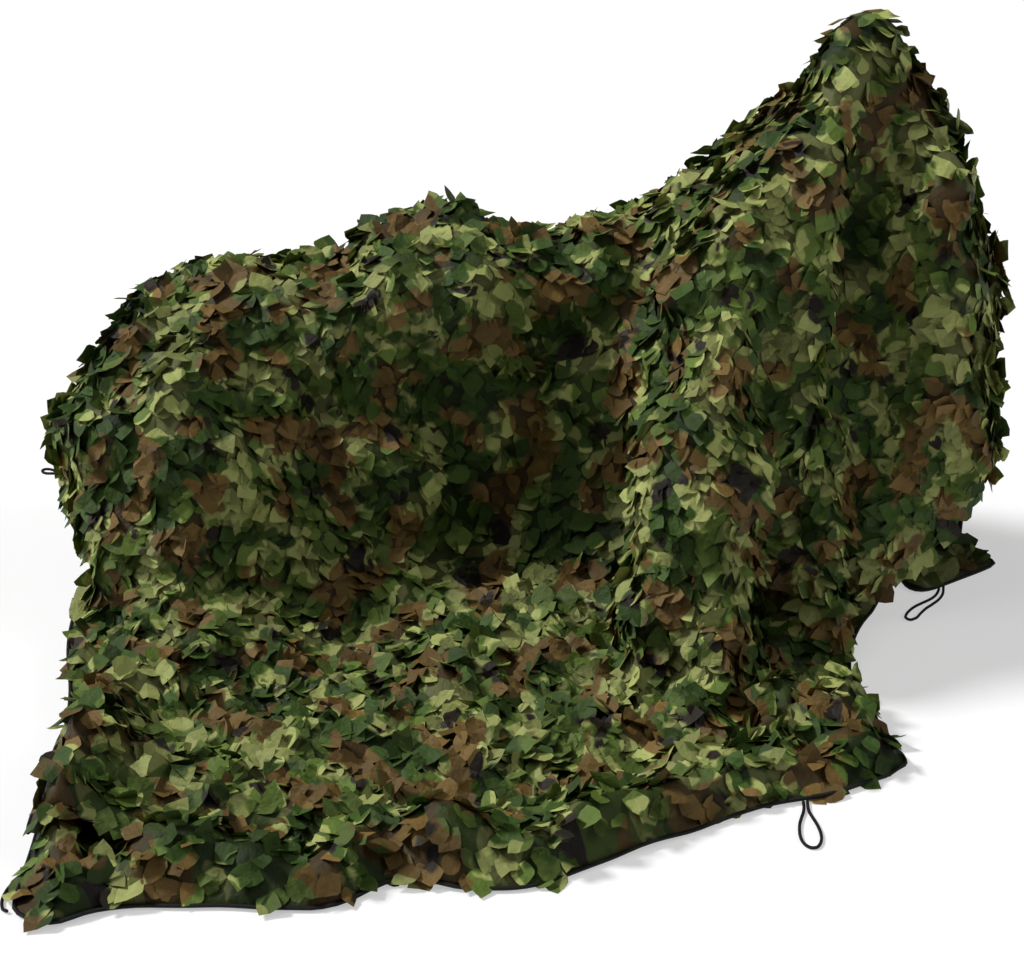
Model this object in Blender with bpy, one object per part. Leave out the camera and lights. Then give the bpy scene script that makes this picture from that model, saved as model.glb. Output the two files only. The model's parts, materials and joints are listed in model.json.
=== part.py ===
"""A camouflage net draped over a motorcycle that is left out: one hollow sheet, a cord sewn round
its edge and four tie loops. The cuts that turn the real cloth into leaves are not in the solids.

Metres, +Z up, X along the motorcycle (front at +X); the -Y side is the one that spreads on the
floor. The tables give places above the floor; the built part's origin is under the net, on SADDLE.
"""

import math

import bpy
import numpy as np

# ---------------------------------------------------------------- driving sizes
THICK = 0.003  # the cloth with its net backing
FLOOR_MID = THICK / 2  # height of the middle of cloth that lies on the floor
EDGE_CORD_R = 0.004  # the cord sewn round the edge
PIECE_GAP = 0.0020  # between the middle of the cloth's edge and its cord
FLOOR_GAP = 0.0004  # under a cord that lies on the floor
EDGE_MID = 2 * EDGE_CORD_R + PIECE_GAP + FLOOR_GAP  # least height of the edge, which lies on its cord
SADDLE = (-0.19, 0.0, 0.869)  # the part's origin, given from the floor
COLUMNS = 51  # sections of the sheet from the rear edge to the front edge
RIDGE_STEPS = 600  # points at which the length of the top line is measured

# ---------------------------------------------------------------- tables of the drape
# One row per section, from the rear edge of the net to its front edge.
# The line along the top.
RIDGE_COLUMNS = ("x", "y", "z")
RIDGE = (
    (-1.045, 0.04, 0.280),
    (-1.010, 0.02, 0.450),
    (-0.930, 0.00, 0.615),
    (-0.800, 0.00, 0.705),
    (-0.600, 0.00, 0.755),
    (-0.375, 0.00, 0.755),
    (-0.315, 0.00, 0.850),
    (-0.190, 0.00, 0.868),
    (0.100, 0.00, 0.845),
    (0.320, 0.00, 0.915),
    (0.500, 0.00, 1.035),
    (0.665, 0.00, 1.230),
    (0.805, 0.00, 1.330),
    (0.935, 0.00, 1.145),
    (1.045, 0.00, 0.800),
    (1.100, 0.00, 0.470),
)
# Near side: the shoulder (s) where the top turns down, the wall (w) as a shift from the straight
# line, the foot (f) where the wall meets the skirt, the middle (m) of the skirt, the hem (h), and
# how deep the skirt is tucked back under itself.
NEAR_COLUMNS = ("sy", "sz", "wx", "wy", "fx", "fy", "fz", "mx", "my", "hx", "hy", "tuck")
NEAR = (
    (-0.14, 0.24, 0.05, 0.00, -0.955, -0.42, 0.08, -0.885, -0.90, -0.875, -1.450, 0.13),
    (-0.18, 0.41, 0.03, -0.02, -0.925, -0.46, 0.07, -0.840, -0.90, -0.800, -1.490, 0.15),
    (-0.20, 0.58, 0.02, -0.03, -0.870, -0.50, 0.09, -0.770, -0.91, -0.690, -1.430, 0.14),
    (-0.22, 0.66, 0.00, -0.03, -0.780, -0.51, 0.11, -0.670, -0.92, -0.570, -1.410, 0.06),
    (-0.20, 0.69, 0.00, 0.01, -0.610, -0.46, 0.13, -0.520, -0.92, -0.430, -1.440, 0.04),
    (-0.17, 0.70, 0.00, 0.05, -0.430, -0.40, 0.13, -0.370, -0.90, -0.320, -1.425, 0.06),
    (-0.20, 0.79, 0.00, 0.07, -0.330, -0.37, 0.14, -0.270, -0.87, -0.220, -1.340, 0.08),
    (-0.22, 0.81, 0.00, 0.09, -0.200, -0.35, 0.14, -0.140, -0.85, -0.090, -1.375, 0.07),
    (-0.21, 0.77, 0.00, 0.09, 0.020, -0.36, 0.12, 0.030, -0.84, 0.040, -1.355, 0.00),
    (-0.25, 0.84, 0.00, 0.06, 0.190, -0.46, 0.11, 0.180, -0.85, 0.190, -1.270, 0.00),
    (-0.35, 0.95, 0.00, -0.01, 0.350, -0.60, 0.10, 0.340, -0.88, 0.340, -1.160, 0.00),
    (-0.26, 1.05, 0.00, 0.00, 0.510, -0.54, 0.08, 0.480, -0.82, 0.490, -1.085, 0.00),
    (-0.20, 1.08, 0.00, 0.00, 0.610, -0.49, 0.06, 0.560, -0.78, 0.580, -1.060, 0.00),
    (-0.22, 0.88, 0.00, 0.00, 0.700, -0.42, 0.05, 0.620, -0.74, 0.660, -1.020, 0.00),
    (-0.22, 0.64, 0.00, 0.00, 0.770, -0.36, 0.05, 0.670, -0.68, 0.720, -0.985, 0.00),
    (-0.13, 0.42, 0.00, 0.00, 0.830, -0.30, 0.06, 0.715, -0.62, 0.775, -0.945, 0.00),
)
# Far side, which spreads little; its front corner is drawn in along the floor.
FAR_COLUMNS = ("sy", "sz", "wx", "wy", "fx", "fy", "fz", "hx", "hy")
FAR = (
    (0.14, 0.24, 0.00, 0.00, -0.980, 0.36, 0.04, -0.980, 0.62),
    (0.16, 0.41, 0.00, 0.02, -0.940, 0.42, 0.05, -0.900, 0.66),
    (0.16, 0.59, 0.00, 0.03, -0.880, 0.45, 0.06, -0.800, 0.70),
    (0.16, 0.68, 0.00, 0.02, -0.780, 0.44, 0.06, -0.680, 0.72),
    (0.16, 0.72, 0.00, 0.00, -0.600, 0.40, 0.06, -0.540, 0.70),
    (0.15, 0.72, 0.00, -0.03, -0.420, 0.37, 0.06, -0.400, 0.67),
    (0.15, 0.80, 0.00, -0.04, -0.330, 0.36, 0.06, -0.300, 0.65),
    (0.16, 0.82, 0.00, -0.05, -0.200, 0.36, 0.06, -0.180, 0.65),
    (0.17, 0.80, 0.00, -0.04, 0.100, 0.38, 0.06, 0.100, 0.64),
    (0.22, 0.81, 0.00, -0.02, 0.300, 0.43, 0.06, 0.310, 0.66),
    (0.34, 0.88, 0.00, 0.00, 0.480, 0.48, 0.08, 0.500, 0.66),
    (0.26, 1.00, 0.00, 0.00, 0.640, 0.42, 0.12, 0.660, 0.52),
    (0.20, 1.05, 0.00, 0.00, 0.770, 0.31, 0.14, 0.785, 0.26),
    (0.18, 0.86, 0.00, 0.00, 0.890, 0.21, 0.12, 0.880, 0.10),
    (0.16, 0.60, 0.00, 0.00, 1.000, 0.15, 0.08, 0.955, -0.115),
    (0.12, 0.40, 0.00, 0.00, 1.085, 0.12, 0.04, 1.165, 0.040),
)
# Folds that run down the sides: x of the fold at the shoulder, foot and hem, its half width, and
# its height out of the sheet there (a valley is negative).
FOLD_COLUMNS = ("xs", "xf", "xh", "width", "hs", "hf", "hh")
NEAR_FOLDS = (
    (0.430, 0.375, 0.360, 0.115, 0.040, 0.160, 0.020),  # the broad column under the grip
    (0.270, 0.185, 0.200, 0.060, -0.030, -0.100, 0.000),
    (0.540, 0.565, 0.560, 0.045, -0.030, -0.130, 0.000),
    (0.620, 0.680, 0.640, 0.045, 0.050, 0.060, 0.005),
    (0.810, 0.770, 0.690, 0.050, -0.140, -0.040, 0.000),  # the deep valley behind the front lobe
    (0.960, 0.930, 0.800, 0.090, 0.060, 0.020, 0.000),
    (0.060, 0.020, 0.020, 0.070, 0.015, 0.035, 0.015),
    (-0.100, -0.140, -0.120, 0.070, -0.010, -0.050, 0.000),
    (-0.330, -0.320, -0.300, 0.060, 0.020, 0.045, 0.020),
    (-0.520, -0.500, -0.420, 0.080, -0.010, -0.030, 0.000),
    (-0.720, -0.700, -0.580, 0.070, 0.010, 0.030, 0.025),
    (-0.860, -0.860, -0.700, 0.060, 0.000, -0.030, 0.000),
)
FAR_FOLDS = (
    (-0.860, -0.860, -0.780, 0.060, 0.010, 0.050, 0.030),
    (-0.720, -0.700, -0.640, 0.055, -0.010, -0.050, 0.000),
    (-0.560, -0.550, -0.500, 0.055, 0.010, 0.045, 0.025),
    (-0.400, -0.400, -0.380, 0.050, 0.000, -0.045, 0.000),
    (-0.220, -0.240, -0.220, 0.060, 0.010, 0.050, 0.030),
    (-0.040, -0.060, -0.060, 0.055, 0.000, -0.050, 0.000),
    (0.140, 0.100, 0.100, 0.055, 0.010, 0.050, 0.030),
    (0.320, 0.260, 0.260, 0.050, -0.020, -0.060, 0.000),
    (0.520, 0.440, 0.440, 0.070, 0.030, 0.070, 0.020),
    (0.660, 0.600, 0.620, 0.050, -0.030, -0.040, 0.000),
    (0.780, 0.740, 0.780, 0.060, 0.030, 0.010, 0.000),
    (0.920, 0.860, 0.900, 0.060, -0.030, 0.000, 0.000),
)
# Swags and dents that run slantwise across the near side, from one end (1) to the other (2): x, way
# down from the top in marks, half width, and height out of the sheet.
SWAG_COLUMNS = ("x1", "down1", "x2", "down2", "width", "height")
SWAGS = (
    (-0.68, 0.95, -0.40, 1.70, 0.060, -0.045),
    (-0.38, 2.05, -0.36, 2.70, 0.060, -0.040),
    (-0.74, 1.60, -0.52, 2.40, 0.080, 0.035),
    (-0.30, 1.30, 0.08, 1.70, 0.070, 0.040),
    (-0.28, 2.00, 0.14, 2.60, 0.080, -0.050),
    (-0.36, 2.30, -0.16, 2.50, 0.060, 0.035),
    (-0.84, 3.00, -0.58, 3.35, 0.070, 0.035),
    (-0.60, 3.70, -0.20, 3.45, 0.080, -0.030),
    (-0.70, 4.20, -0.34, 4.30, 0.070, 0.035),
    (-0.10, 3.60, 0.16, 4.10, 0.070, 0.035),
    (0.20, 3.50, 0.60, 3.55, 0.070, -0.030),
    (0.36, 4.20, 0.66, 4.40, 0.060, 0.030),
    (0.50, 0.70, 0.70, 1.20, 0.060, 0.030),
    (0.84, 1.20, 1.02, 1.60, 0.060, 0.035),
)
MARK_LENGTH = 0.28  # about how far apart two marks lie
FOLD_TURN = 0.35  # the least share of Y in the way that a fold stands out
FOLD_START, FOLD_FULL = 0.15, 1.05  # marks down from the top where folds start and are full
SWAG_FADE = 0.4  # marks before the skirt's tuck over which swags fade out
SKIRT_BLEND = 0.6  # marks over which the rumple turns from the normal to straight up
# Small unevenness everywhere: the wavelength, phase and height of each ripple, and how much its
# crests turn with height (from X), and with X (from Y).
RUMPLE_COLUMNS = ("wave", "phase", "height")
RUMPLE = ((0.41, 0.4, 0.013), (0.26, 2.1, 0.010), (0.17, 4.4, 0.007))
RUMPLE_RISE, RUMPLE_CROSS, RUMPLE_SLANT = 0.6, 0.8, -0.5

# The marks that a section runs through, counted from the near hem, and how far down from the top
# the shoulder, foot and hem lie among them on each side.
HEM_N, BACK_N, NOSE_N, MID_N, FOOT_N, WALL_N, SHOULDER_N = range(7)
TOP, SHOULDER_F, WALL_F, FOOT_F, HEM_F = range(7, 12)
NEAR_KNOTS = (TOP - SHOULDER_N, TOP - FOOT_N, TOP - HEM_N)
FAR_KNOTS = (SHOULDER_F - TOP, FOOT_F - TOP, HEM_F - TOP)
CELLS = (5, 3, 6, 7, 7, 7, 4, 3, 5, 5, 4)  # cells of a section between one mark and the next
NOSE_SHARE, BACK_SHARE = 0.50, 0.34  # the tuck's two turns, as shares of the way from hem to mid
NOSE_REACH, BACK_REACH = 0.9, 0.5  # how far the two turns stand out, as shares of the tuck
MID_RISE, NOSE_RISE, BACK_RISE = 0.45, 0.28, 0.08  # how far a tuck lifts these, as shares of it
SKIRT_HEIGHT = 0.02  # of the skirt above the floor at its middle
SHOULDER_LEAN = 0.12  # how far the shoulder follows the foot along X

# ---------------------------------------------------------------- cords
LOOP_R = 0.0032  # the cord of the tie loops
LOOP_STEP = 0.006  # between the points of a tie loop's tube
OPEN_BEVEL, CLOSED_BEVEL = 2, 1  # roundness of a tie loop's tube and of the edge cord's
# Routes of the tie loops, each from one end to the other, from the floor.
LOOP_ROUTES = {
    "tie_loop_near_hem": (
        (0.5596, -1.0783, 0.0050), (0.5581, -1.0988, 0.0038), (0.5548, -1.1153, 0.0036),
        (0.5493, -1.1336, 0.0036), (0.5433, -1.1553, 0.0036), (0.5397, -1.1786, 0.0036),
        (0.5385, -1.1999, 0.0036), (0.5404, -1.2192, 0.0036), (0.5460, -1.2335, 0.0036),
        (0.5545, -1.2408, 0.0036), (0.5636, -1.2397, 0.0036), (0.5714, -1.2289, 0.0036),
        (0.5765, -1.2122, 0.0036), (0.5782, -1.1928, 0.0036), (0.5770, -1.1715, 0.0036),
        (0.5737, -1.1499, 0.0036), (0.5695, -1.1300, 0.0036), (0.5665, -1.1135, 0.0036),
        (0.5662, -1.0970, 0.0038), (0.5677, -1.0759, 0.0049),
    ),
    "tie_loop_front_corner": (
        (1.0011, -0.1056, 0.0039), (0.9952, -0.1229, 0.0036), (0.9850, -0.1440, 0.0036),
        (0.9690, -0.1640, 0.0036), (0.9495, -0.1815, 0.0036), (0.9298, -0.2000, 0.0036),
        (0.9125, -0.2221, 0.0036), (0.9005, -0.2450, 0.0036), (0.8968, -0.2620, 0.0036),
        (0.9040, -0.2715, 0.0036), (0.9180, -0.2640, 0.0036), (0.9335, -0.2400, 0.0036),
        (0.9510, -0.2130, 0.0036), (0.9710, -0.1890, 0.0036), (0.9905, -0.1630, 0.0036),
        (1.0045, -0.1340, 0.0036), (1.0133, -0.0962, 0.0044),
    ),
    "tie_loop_near_corner": (
        (-0.8885, -1.3520, 0.0045), (-0.8950, -1.3590, 0.0036), (-0.8998, -1.3690, 0.0036),
        (-0.9030, -1.3810, 0.0036), (-0.9046, -1.3940, 0.0036), (-0.9050, -1.4070, 0.0036),
        (-0.9040, -1.4200, 0.0036), (-0.9012, -1.4325, 0.0036), (-0.8970, -1.4435, 0.0036),
        (-0.8873, -1.4529, 0.0058),
    ),
    "tie_loop_rear_edge": (
        (-1.0478, -0.0368, 0.2661), (-1.0580, -0.0385, 0.2680), (-1.0655, -0.0415, 0.2695),
        (-1.0730, -0.0455, 0.2710), (-1.0810, -0.0475, 0.2720), (-1.0885, -0.0447, 0.2730),
        (-1.0927, -0.0380, 0.2735), (-1.0927, -0.0305, 0.2735), (-1.0885, -0.0238, 0.2730),
        (-1.0810, -0.0210, 0.2720), (-1.0730, -0.0225, 0.2710), (-1.0655, -0.0263, 0.2695),
        (-1.0590, -0.0290, 0.2685), (-1.0498, -0.0285, 0.2678),
    ),
}

# ---------------------------------------------------------------- materials
CLOTH_COLOUR = (0.115, 0.145, 0.050, 1.0)
CLOTH_ROUGHNESS = 0.85
CORD_COLOUR = (0.012, 0.012, 0.012, 1.0)
CORD_ROUGHNESS = 0.6


def clear_scene():
    for old in list(bpy.data.objects):
        bpy.data.objects.remove(old)


def material(name, colour, roughness):
    made = bpy.data.materials.new(name)
    made.use_nodes = True
    shader = made.node_tree.nodes["Principled BSDF"]
    shader.inputs["Base Color"].default_value = colour
    shader.inputs["Roughness"].default_value = roughness
    shader.inputs["Metallic"].default_value = 0.0
    made.diffuse_color = colour
    return made


def between(knots, values, tangent, at):
    """A cubic from knot to knot with the given slope at each."""
    step = np.maximum(np.diff(knots), 1e-9)
    i = np.clip(np.searchsorted(knots, at, side="right") - 1, 0, len(step) - 1)
    t = (at - knots[i]) / step[i]
    return (
        values[i] * (1 + 2 * t) * (1 - t) ** 2
        + tangent[i] * step[i] * t * (1 - t) ** 2
        + values[i + 1] * t * t * (3 - 2 * t)
        + tangent[i + 1] * step[i] * t * t * (t - 1)
    )


def smooth(knots, values, at):
    """A smooth line through values at knots that never overshoots them."""
    knots, values = np.asarray(knots, float), np.asarray(values, float)
    step = np.maximum(np.diff(knots), 1e-9)
    slope = np.diff(values) / step
    weight_a, weight_b = 2 * step[1:] + step[:-1], step[1:] + 2 * step[:-1]
    inner = slope[:-1] * slope[1:] > 0
    before, after = np.where(inner, slope[:-1], 1.0), np.where(inner, slope[1:], 1.0)
    mean = (weight_a + weight_b) / (weight_a / before + weight_b / after)
    tangent = np.concatenate([slope[:1], np.where(inner, mean, 0.0), slope[-1:]])
    return between(knots, values, tangent, at)


def row_at(columns, rows, station):
    """The table's values at a station that may lie between two rows."""
    table = np.array(rows)
    knots = np.arange(len(rows))
    return {name: float(smooth(knots, table[:, c], station)) for c, name in enumerate(columns)}


def side_marks(row, ridge):
    """The shoulder, wall and foot of one side of a section."""
    foot = np.array([row["fx"], row["fy"], row["fz"]])
    lean = SHOULDER_LEAN * (row["fx"] - ridge[0])
    shoulder = np.array([ridge[0] + lean, row["sy"], row["sz"]])
    wall = (foot + shoulder) / 2 + np.array([row["wx"], row["wy"], 0])
    return shoulder, wall, foot


def section_marks(station):
    """The points that a section of the drape runs through."""
    top = row_at(RIDGE_COLUMNS, RIDGE, station)
    near = row_at(NEAR_COLUMNS, NEAR, station)
    far = row_at(FAR_COLUMNS, FAR, station)
    marks = np.zeros((HEM_F + 1, 3))
    marks[TOP] = top["x"], top["y"], top["z"]
    marks[SHOULDER_N], marks[WALL_N], marks[FOOT_N] = side_marks(near, marks[TOP])
    marks[SHOULDER_F], marks[WALL_F], marks[FOOT_F] = side_marks(far, marks[TOP])
    marks[HEM_N] = near["hx"], near["hy"], 0
    marks[HEM_F] = far["hx"], far["hy"], 0
    marks[MID_N] = near["mx"], near["my"], SKIRT_HEIGHT + MID_RISE * near["tuck"]
    back = marks[MID_N] - marks[HEM_N]
    turn = near["tuck"] * back / np.linalg.norm(back)
    marks[NOSE_N] = marks[HEM_N] + NOSE_SHARE * back - NOSE_REACH * turn
    marks[BACK_N] = marks[HEM_N] + BACK_SHARE * back + BACK_REACH * turn
    marks[NOSE_N][2] = SKIRT_HEIGHT + NOSE_RISE * near["tuck"]
    marks[BACK_N][2] = SKIRT_HEIGHT / 2 + BACK_RISE * near["tuck"]
    return marks


def section(station, cells):
    """Points of a section, with the given number of cells between its marks."""
    marks = section_marks(station)
    along = np.concatenate([[0], np.cumsum(np.linalg.norm(np.diff(marks, axis=0), axis=1))])
    at = np.interp(mark_places(cells), np.arange(len(along)), along)
    return np.stack([smooth(along, marks[:, c], at) for c in range(3)], axis=1)


def mark_places(cells):
    """Where each row lies among the marks."""
    spans = [m + np.arange(count) / count for m, count in enumerate(cells)]
    return np.concatenate(spans + [[len(cells)]])


def unit(vectors):
    return vectors / np.maximum(np.linalg.norm(vectors, axis=2, keepdims=True), 1e-9)


def normals_of(grid):
    """Unit normals of a grid of points, outwards from the hollow."""
    return unit(np.cross(np.gradient(grid, axis=0), np.gradient(grid, axis=1)))


def fold_direction(normal, near):
    """Level and outwards, so that a fold doesn't pinch where the wall meets the skirt."""
    y = np.where(near, np.minimum(normal[:, :, 1], -FOLD_TURN), np.maximum(normal[:, :, 1], FOLD_TURN))
    return unit(np.stack([normal[:, :, 0], y, np.zeros(y.shape)], axis=2))


def rumple_direction(normal, down, near):
    """Along the normal, but straight up on the skirt, where the tuck turns it over."""
    up = np.clip((down - (TOP - MID_N)) / SKIRT_BLEND + 0.5, 0, 1) * near
    blend = up[:, :, None]
    return unit(normal * (1 - blend) + np.array([0, 0, 1.0]) * blend)


def fold_height(x, down, folds, knots):
    """How far the folds of one side lift each point; down is the way from the top in marks."""
    total = np.zeros(x.shape)
    for fold in folds:
        f = dict(zip(FOLD_COLUMNS, fold))
        centre = np.interp(down, knots, (f["xs"], f["xf"], f["xh"]))
        height = np.interp(down, knots, (f["hs"], f["hf"], f["hh"]))
        total += height * np.exp(-(((x - centre) / f["width"]) ** 2))
    return total * np.clip((down - FOLD_START) / (FOLD_FULL - FOLD_START), 0, 1)


def swag_height(x, down):
    """How far the slanting swags of the near side lift each point."""
    total = np.zeros(x.shape)
    for swag in SWAGS:
        s = dict(zip(SWAG_COLUMNS, swag))
        run = np.array([s["x2"] - s["x1"], (s["down2"] - s["down1"]) * MARK_LENGTH])
        from_x, from_down = x - s["x1"], (down - s["down1"]) * MARK_LENGTH
        share = np.clip((from_x * run[0] + from_down * run[1]) / (run @ run), 0, 1)
        off = np.hypot(from_x - share * run[0], from_down - share * run[1])
        total += s["height"] * np.exp(-((off / s["width"]) ** 2))
    return total * np.clip((TOP - NOSE_N - down) / SWAG_FADE, 0, 1)


def rumple_height(grid):
    """How far the small unevenness lifts each point."""
    total = np.zeros(grid.shape[:2])
    x, y, z = grid[:, :, 0], grid[:, :, 1], grid[:, :, 2]
    for ripple in RUMPLE:
        r = dict(zip(RUMPLE_COLUMNS, ripple))
        turn = 2 * math.pi / r["wave"]
        along = np.sin(turn * (x + RUMPLE_RISE * z) + r["phase"])
        across = np.cos(turn * (RUMPLE_CROSS * y + RUMPLE_SLANT * x) + r["phase"])
        total += r["height"] * along * across
    return total


def drape(columns, cells):
    """The middle of the draped net as a grid of points from the floor."""
    last = len(RIDGE) - 1
    fine = np.linspace(0, last, RIDGE_STEPS)
    path = np.stack([smooth(np.arange(last + 1), np.array(RIDGE)[:, c], fine) for c in range(3)], 1)
    length = np.concatenate([[0], np.cumsum(np.linalg.norm(np.diff(path, axis=0), axis=1))])
    stations = np.interp(np.linspace(0, length[-1], columns), length, fine)
    grid = np.stack([section(s, cells) for s in stations])
    place = np.tile(mark_places(cells), (columns, 1))
    down, x = abs(place - TOP), grid[:, :, 0]
    near = place < TOP
    normal = normals_of(grid)
    near_folds = fold_height(x, down, NEAR_FOLDS, NEAR_KNOTS)
    far_folds = fold_height(x, down, FAR_FOLDS, FAR_KNOTS)
    folds = np.where(near, near_folds, far_folds)
    rumple = rumple_height(grid) + near * swag_height(x, down)
    grid = grid + fold_direction(normal, near) * folds[:, :, None]
    grid = grid + rumple_direction(normal, down, near) * rumple[:, :, None]
    rest = np.full(grid.shape[:2], FLOOR_MID)
    rest[[0, -1], :] = EDGE_MID
    rest[:, [0, -1]] = EDGE_MID
    grid[:, :, 2] = np.maximum(grid[:, :, 2], rest)
    return grid


def build_sheet(grid, cloth):
    """The cloth: one closed shell THICK through, with its middle on the grid."""
    columns, rows = grid.shape[:2]
    points = (grid - np.array(SADDLE)).reshape(-1, 3)
    corners = [
        (i * rows + j, (i + 1) * rows + j, (i + 1) * rows + j + 1, i * rows + j + 1)
        for i in range(columns - 1)
        for j in range(rows - 1)
    ]
    mesh = bpy.data.meshes.new("camouflage_sheet")
    mesh.from_pydata([tuple(p) for p in points], [], corners)
    mesh.materials.append(cloth)
    sheet = bpy.data.objects.new("camouflage_sheet", mesh)
    bpy.context.scene.collection.objects.link(sheet)
    solid = sheet.modifiers.new("thickness", "SOLIDIFY")
    solid.thickness = THICK
    solid.offset = 0
    solid.use_even_offset = False
    return sheet


def rim_of(grid):
    """The grid's values once round its edge: near side, front, far side, rear."""
    near, front, far, rear = grid[:, 0], grid[-1, :], grid[::-1, -1], grid[0, ::-1]
    return np.concatenate([side[:-1] for side in (near, front, far, rear)])


def edge_cord_route(grid):
    """Round the cloth's edge, outside it by the cord's radius and a gap."""
    rim, normal = rim_of(grid), rim_of(normals_of(grid))
    along = np.roll(rim, -1, axis=0) - np.roll(rim, 1, axis=0)
    away = np.cross(along, normal)
    away /= np.linalg.norm(away, axis=1, keepdims=True)
    route = rim + away * (EDGE_CORD_R + PIECE_GAP)
    sink = EDGE_CORD_R * np.clip(2 - rim[:, 2] / EDGE_MID, 0, 1)  # a low hem lies on its cord
    route[:, 2] = np.maximum(route[:, 2] - sink, EDGE_CORD_R + FLOOR_GAP)
    return route


def loop_route(points):
    """Evenly spaced points on a smooth curve through a tie loop's route."""
    points = np.array(points)
    knots = np.concatenate([[0], np.cumsum(np.linalg.norm(np.diff(points, axis=0), axis=1))])
    at = np.linspace(0, knots[-1], round(knots[-1] / LOOP_STEP) + 1)
    return np.stack([curve_through(knots, points[:, c], at) for c in range(3)], axis=1)


def curve_through(knots, values, at):
    """A round line through values at knots, its slope at each taken from its neighbours."""
    return between(knots, values, np.gradient(values, knots), at)


def build_cord(name, route, radius, rope, closed=False):
    """A tube along a route; a closed one joins its own start."""
    curve = bpy.data.curves.new(name, "CURVE")
    curve.dimensions = "3D"
    curve.bevel_depth = radius
    curve.bevel_resolution = CLOSED_BEVEL if closed else OPEN_BEVEL
    curve.use_fill_caps = not closed
    line = curve.splines.new("POLY")
    line.points.add(len(route) - 1)
    for point, place in zip(line.points, route - np.array(SADDLE)):
        point.co = (*place, 1.0)
    line.use_cyclic_u = closed
    curve.materials.append(rope)
    cord = bpy.data.objects.new(name, curve)
    bpy.context.scene.collection.objects.link(cord)
    return cord


def main():
    clear_scene()
    cloth = material("camouflage_cloth", CLOTH_COLOUR, CLOTH_ROUGHNESS)
    rope = material("black_cord", CORD_COLOUR, CORD_ROUGHNESS)
    grid = drape(COLUMNS, CELLS)
    build_sheet(grid, cloth)
    build_cord("edge_cord", edge_cord_route(grid), EDGE_CORD_R, rope, closed=True)
    for name, points in LOOP_ROUTES.items():
        build_cord(name, loop_route(points), LOOP_R, rope)


main()
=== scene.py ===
# %% [markdown]
# # A camouflage net, draped and hollow
#
# The real thing is one printed cloth. A cutter stamps rows of curved slits in it and it is backed
# with a mesh, so that every slit lifts into a small leaf. Here it hangs over a motorcycle that is
# left out. The fixed frame brings the draped solids. This script gives them their looks: a backing
# sheet with the print, thousands of leaves, a braided cord round the edge and four tie loops.
#
# A net could also be draped anew here with a cloth simulation, but then it would no longer match
# the solids. So each step starts from the frame's own sheet.

# %% Load the frame and note its box
import json
import math

import bmesh
import bpy
import numpy as np
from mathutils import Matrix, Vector, noise

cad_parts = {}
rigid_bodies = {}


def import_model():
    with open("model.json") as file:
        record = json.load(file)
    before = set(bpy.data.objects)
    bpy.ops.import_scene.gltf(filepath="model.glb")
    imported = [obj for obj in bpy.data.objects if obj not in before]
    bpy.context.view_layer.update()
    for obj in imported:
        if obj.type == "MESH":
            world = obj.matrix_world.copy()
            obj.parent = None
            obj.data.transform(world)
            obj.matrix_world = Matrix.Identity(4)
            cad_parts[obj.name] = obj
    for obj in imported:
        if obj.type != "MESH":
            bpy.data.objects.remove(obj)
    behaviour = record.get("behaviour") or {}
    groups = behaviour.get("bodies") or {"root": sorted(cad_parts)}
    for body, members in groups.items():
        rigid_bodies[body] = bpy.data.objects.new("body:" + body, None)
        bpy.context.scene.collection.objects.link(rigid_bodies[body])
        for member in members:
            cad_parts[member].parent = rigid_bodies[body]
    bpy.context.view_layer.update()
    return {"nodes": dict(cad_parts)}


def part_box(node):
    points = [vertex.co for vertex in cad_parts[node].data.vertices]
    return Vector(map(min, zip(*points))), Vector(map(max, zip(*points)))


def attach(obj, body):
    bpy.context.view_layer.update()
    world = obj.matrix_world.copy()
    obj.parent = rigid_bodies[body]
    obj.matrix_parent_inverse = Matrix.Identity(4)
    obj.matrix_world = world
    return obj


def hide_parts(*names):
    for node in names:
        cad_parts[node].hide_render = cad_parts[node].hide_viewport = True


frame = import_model()
cad_low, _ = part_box("camouflage_sheet")
FLOOR = cad_low.z  # the ground that the net's skirt lies on
print("frame:", sorted(frame["nodes"]), "floor at", round(FLOOR, 4))

# %% [markdown]
# ## Camera
#
# The camera stands at the side on which the net spreads and looks down 22 degrees. Its lens could
# be found by trying, but a picture 1024 pixels wide is to show 2.35 mm to a pixel at the point the
# camera looks at, and that gives the lens by a simple ratio.

# %% Camera
PITCH = math.radians(22.0)
DISTANCE = 5.0
TARGET = Vector((0.19, 0.0, FLOOR + 0.235))
METRES_PER_PIXEL, PICTURE_WIDTH, SENSOR = 0.00235, 1024, 36.0
camera_data = bpy.data.cameras.new("camera")
camera_data.sensor_width = SENSOR
camera_data.lens = SENSOR * DISTANCE / (METRES_PER_PIXEL * PICTURE_WIDTH)
camera = bpy.data.objects.new("camera", camera_data)
back = Vector((0, -math.cos(PITCH), math.sin(PITCH)))
camera.location = TARGET + back * DISTANCE
camera.rotation_euler = (-back).to_track_quat("-Z", "Y").to_euler()
bpy.context.scene.collection.objects.link(camera)
bpy.context.scene.camera = camera
print("camera: lens", round(camera_data.lens, 1), "mm at", [round(c, 3) for c in camera.location])

# %% [markdown]
# ## Helpers for node trees
#
# Materials and Geometry Nodes are both node trees. Written out in full, each node takes several
# lines, so one helper adds a node, sets its properties and fills its inputs, either with a value or
# with a link from another node's output. The others each stand for one node that is used often.


# %% Node helpers
def node(tree, kind, inputs=None, **settings):
    """Adds a node to a tree; an input takes a value or another node's output socket."""
    made = tree.nodes.new(kind)
    for key, value in settings.items():
        setattr(made, key, value)
    for key, value in (inputs or {}).items():
        if isinstance(value, bpy.types.NodeSocket):
            tree.links.new(value, made.inputs[key])
        else:
            made.inputs[key].default_value = value
    return made


def maths(tree, operation, *values):
    """The result of a Math node, in a shader tree or in Geometry Nodes."""
    return node(tree, "ShaderNodeMath", dict(enumerate(values)), operation=operation).outputs[0]


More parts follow.
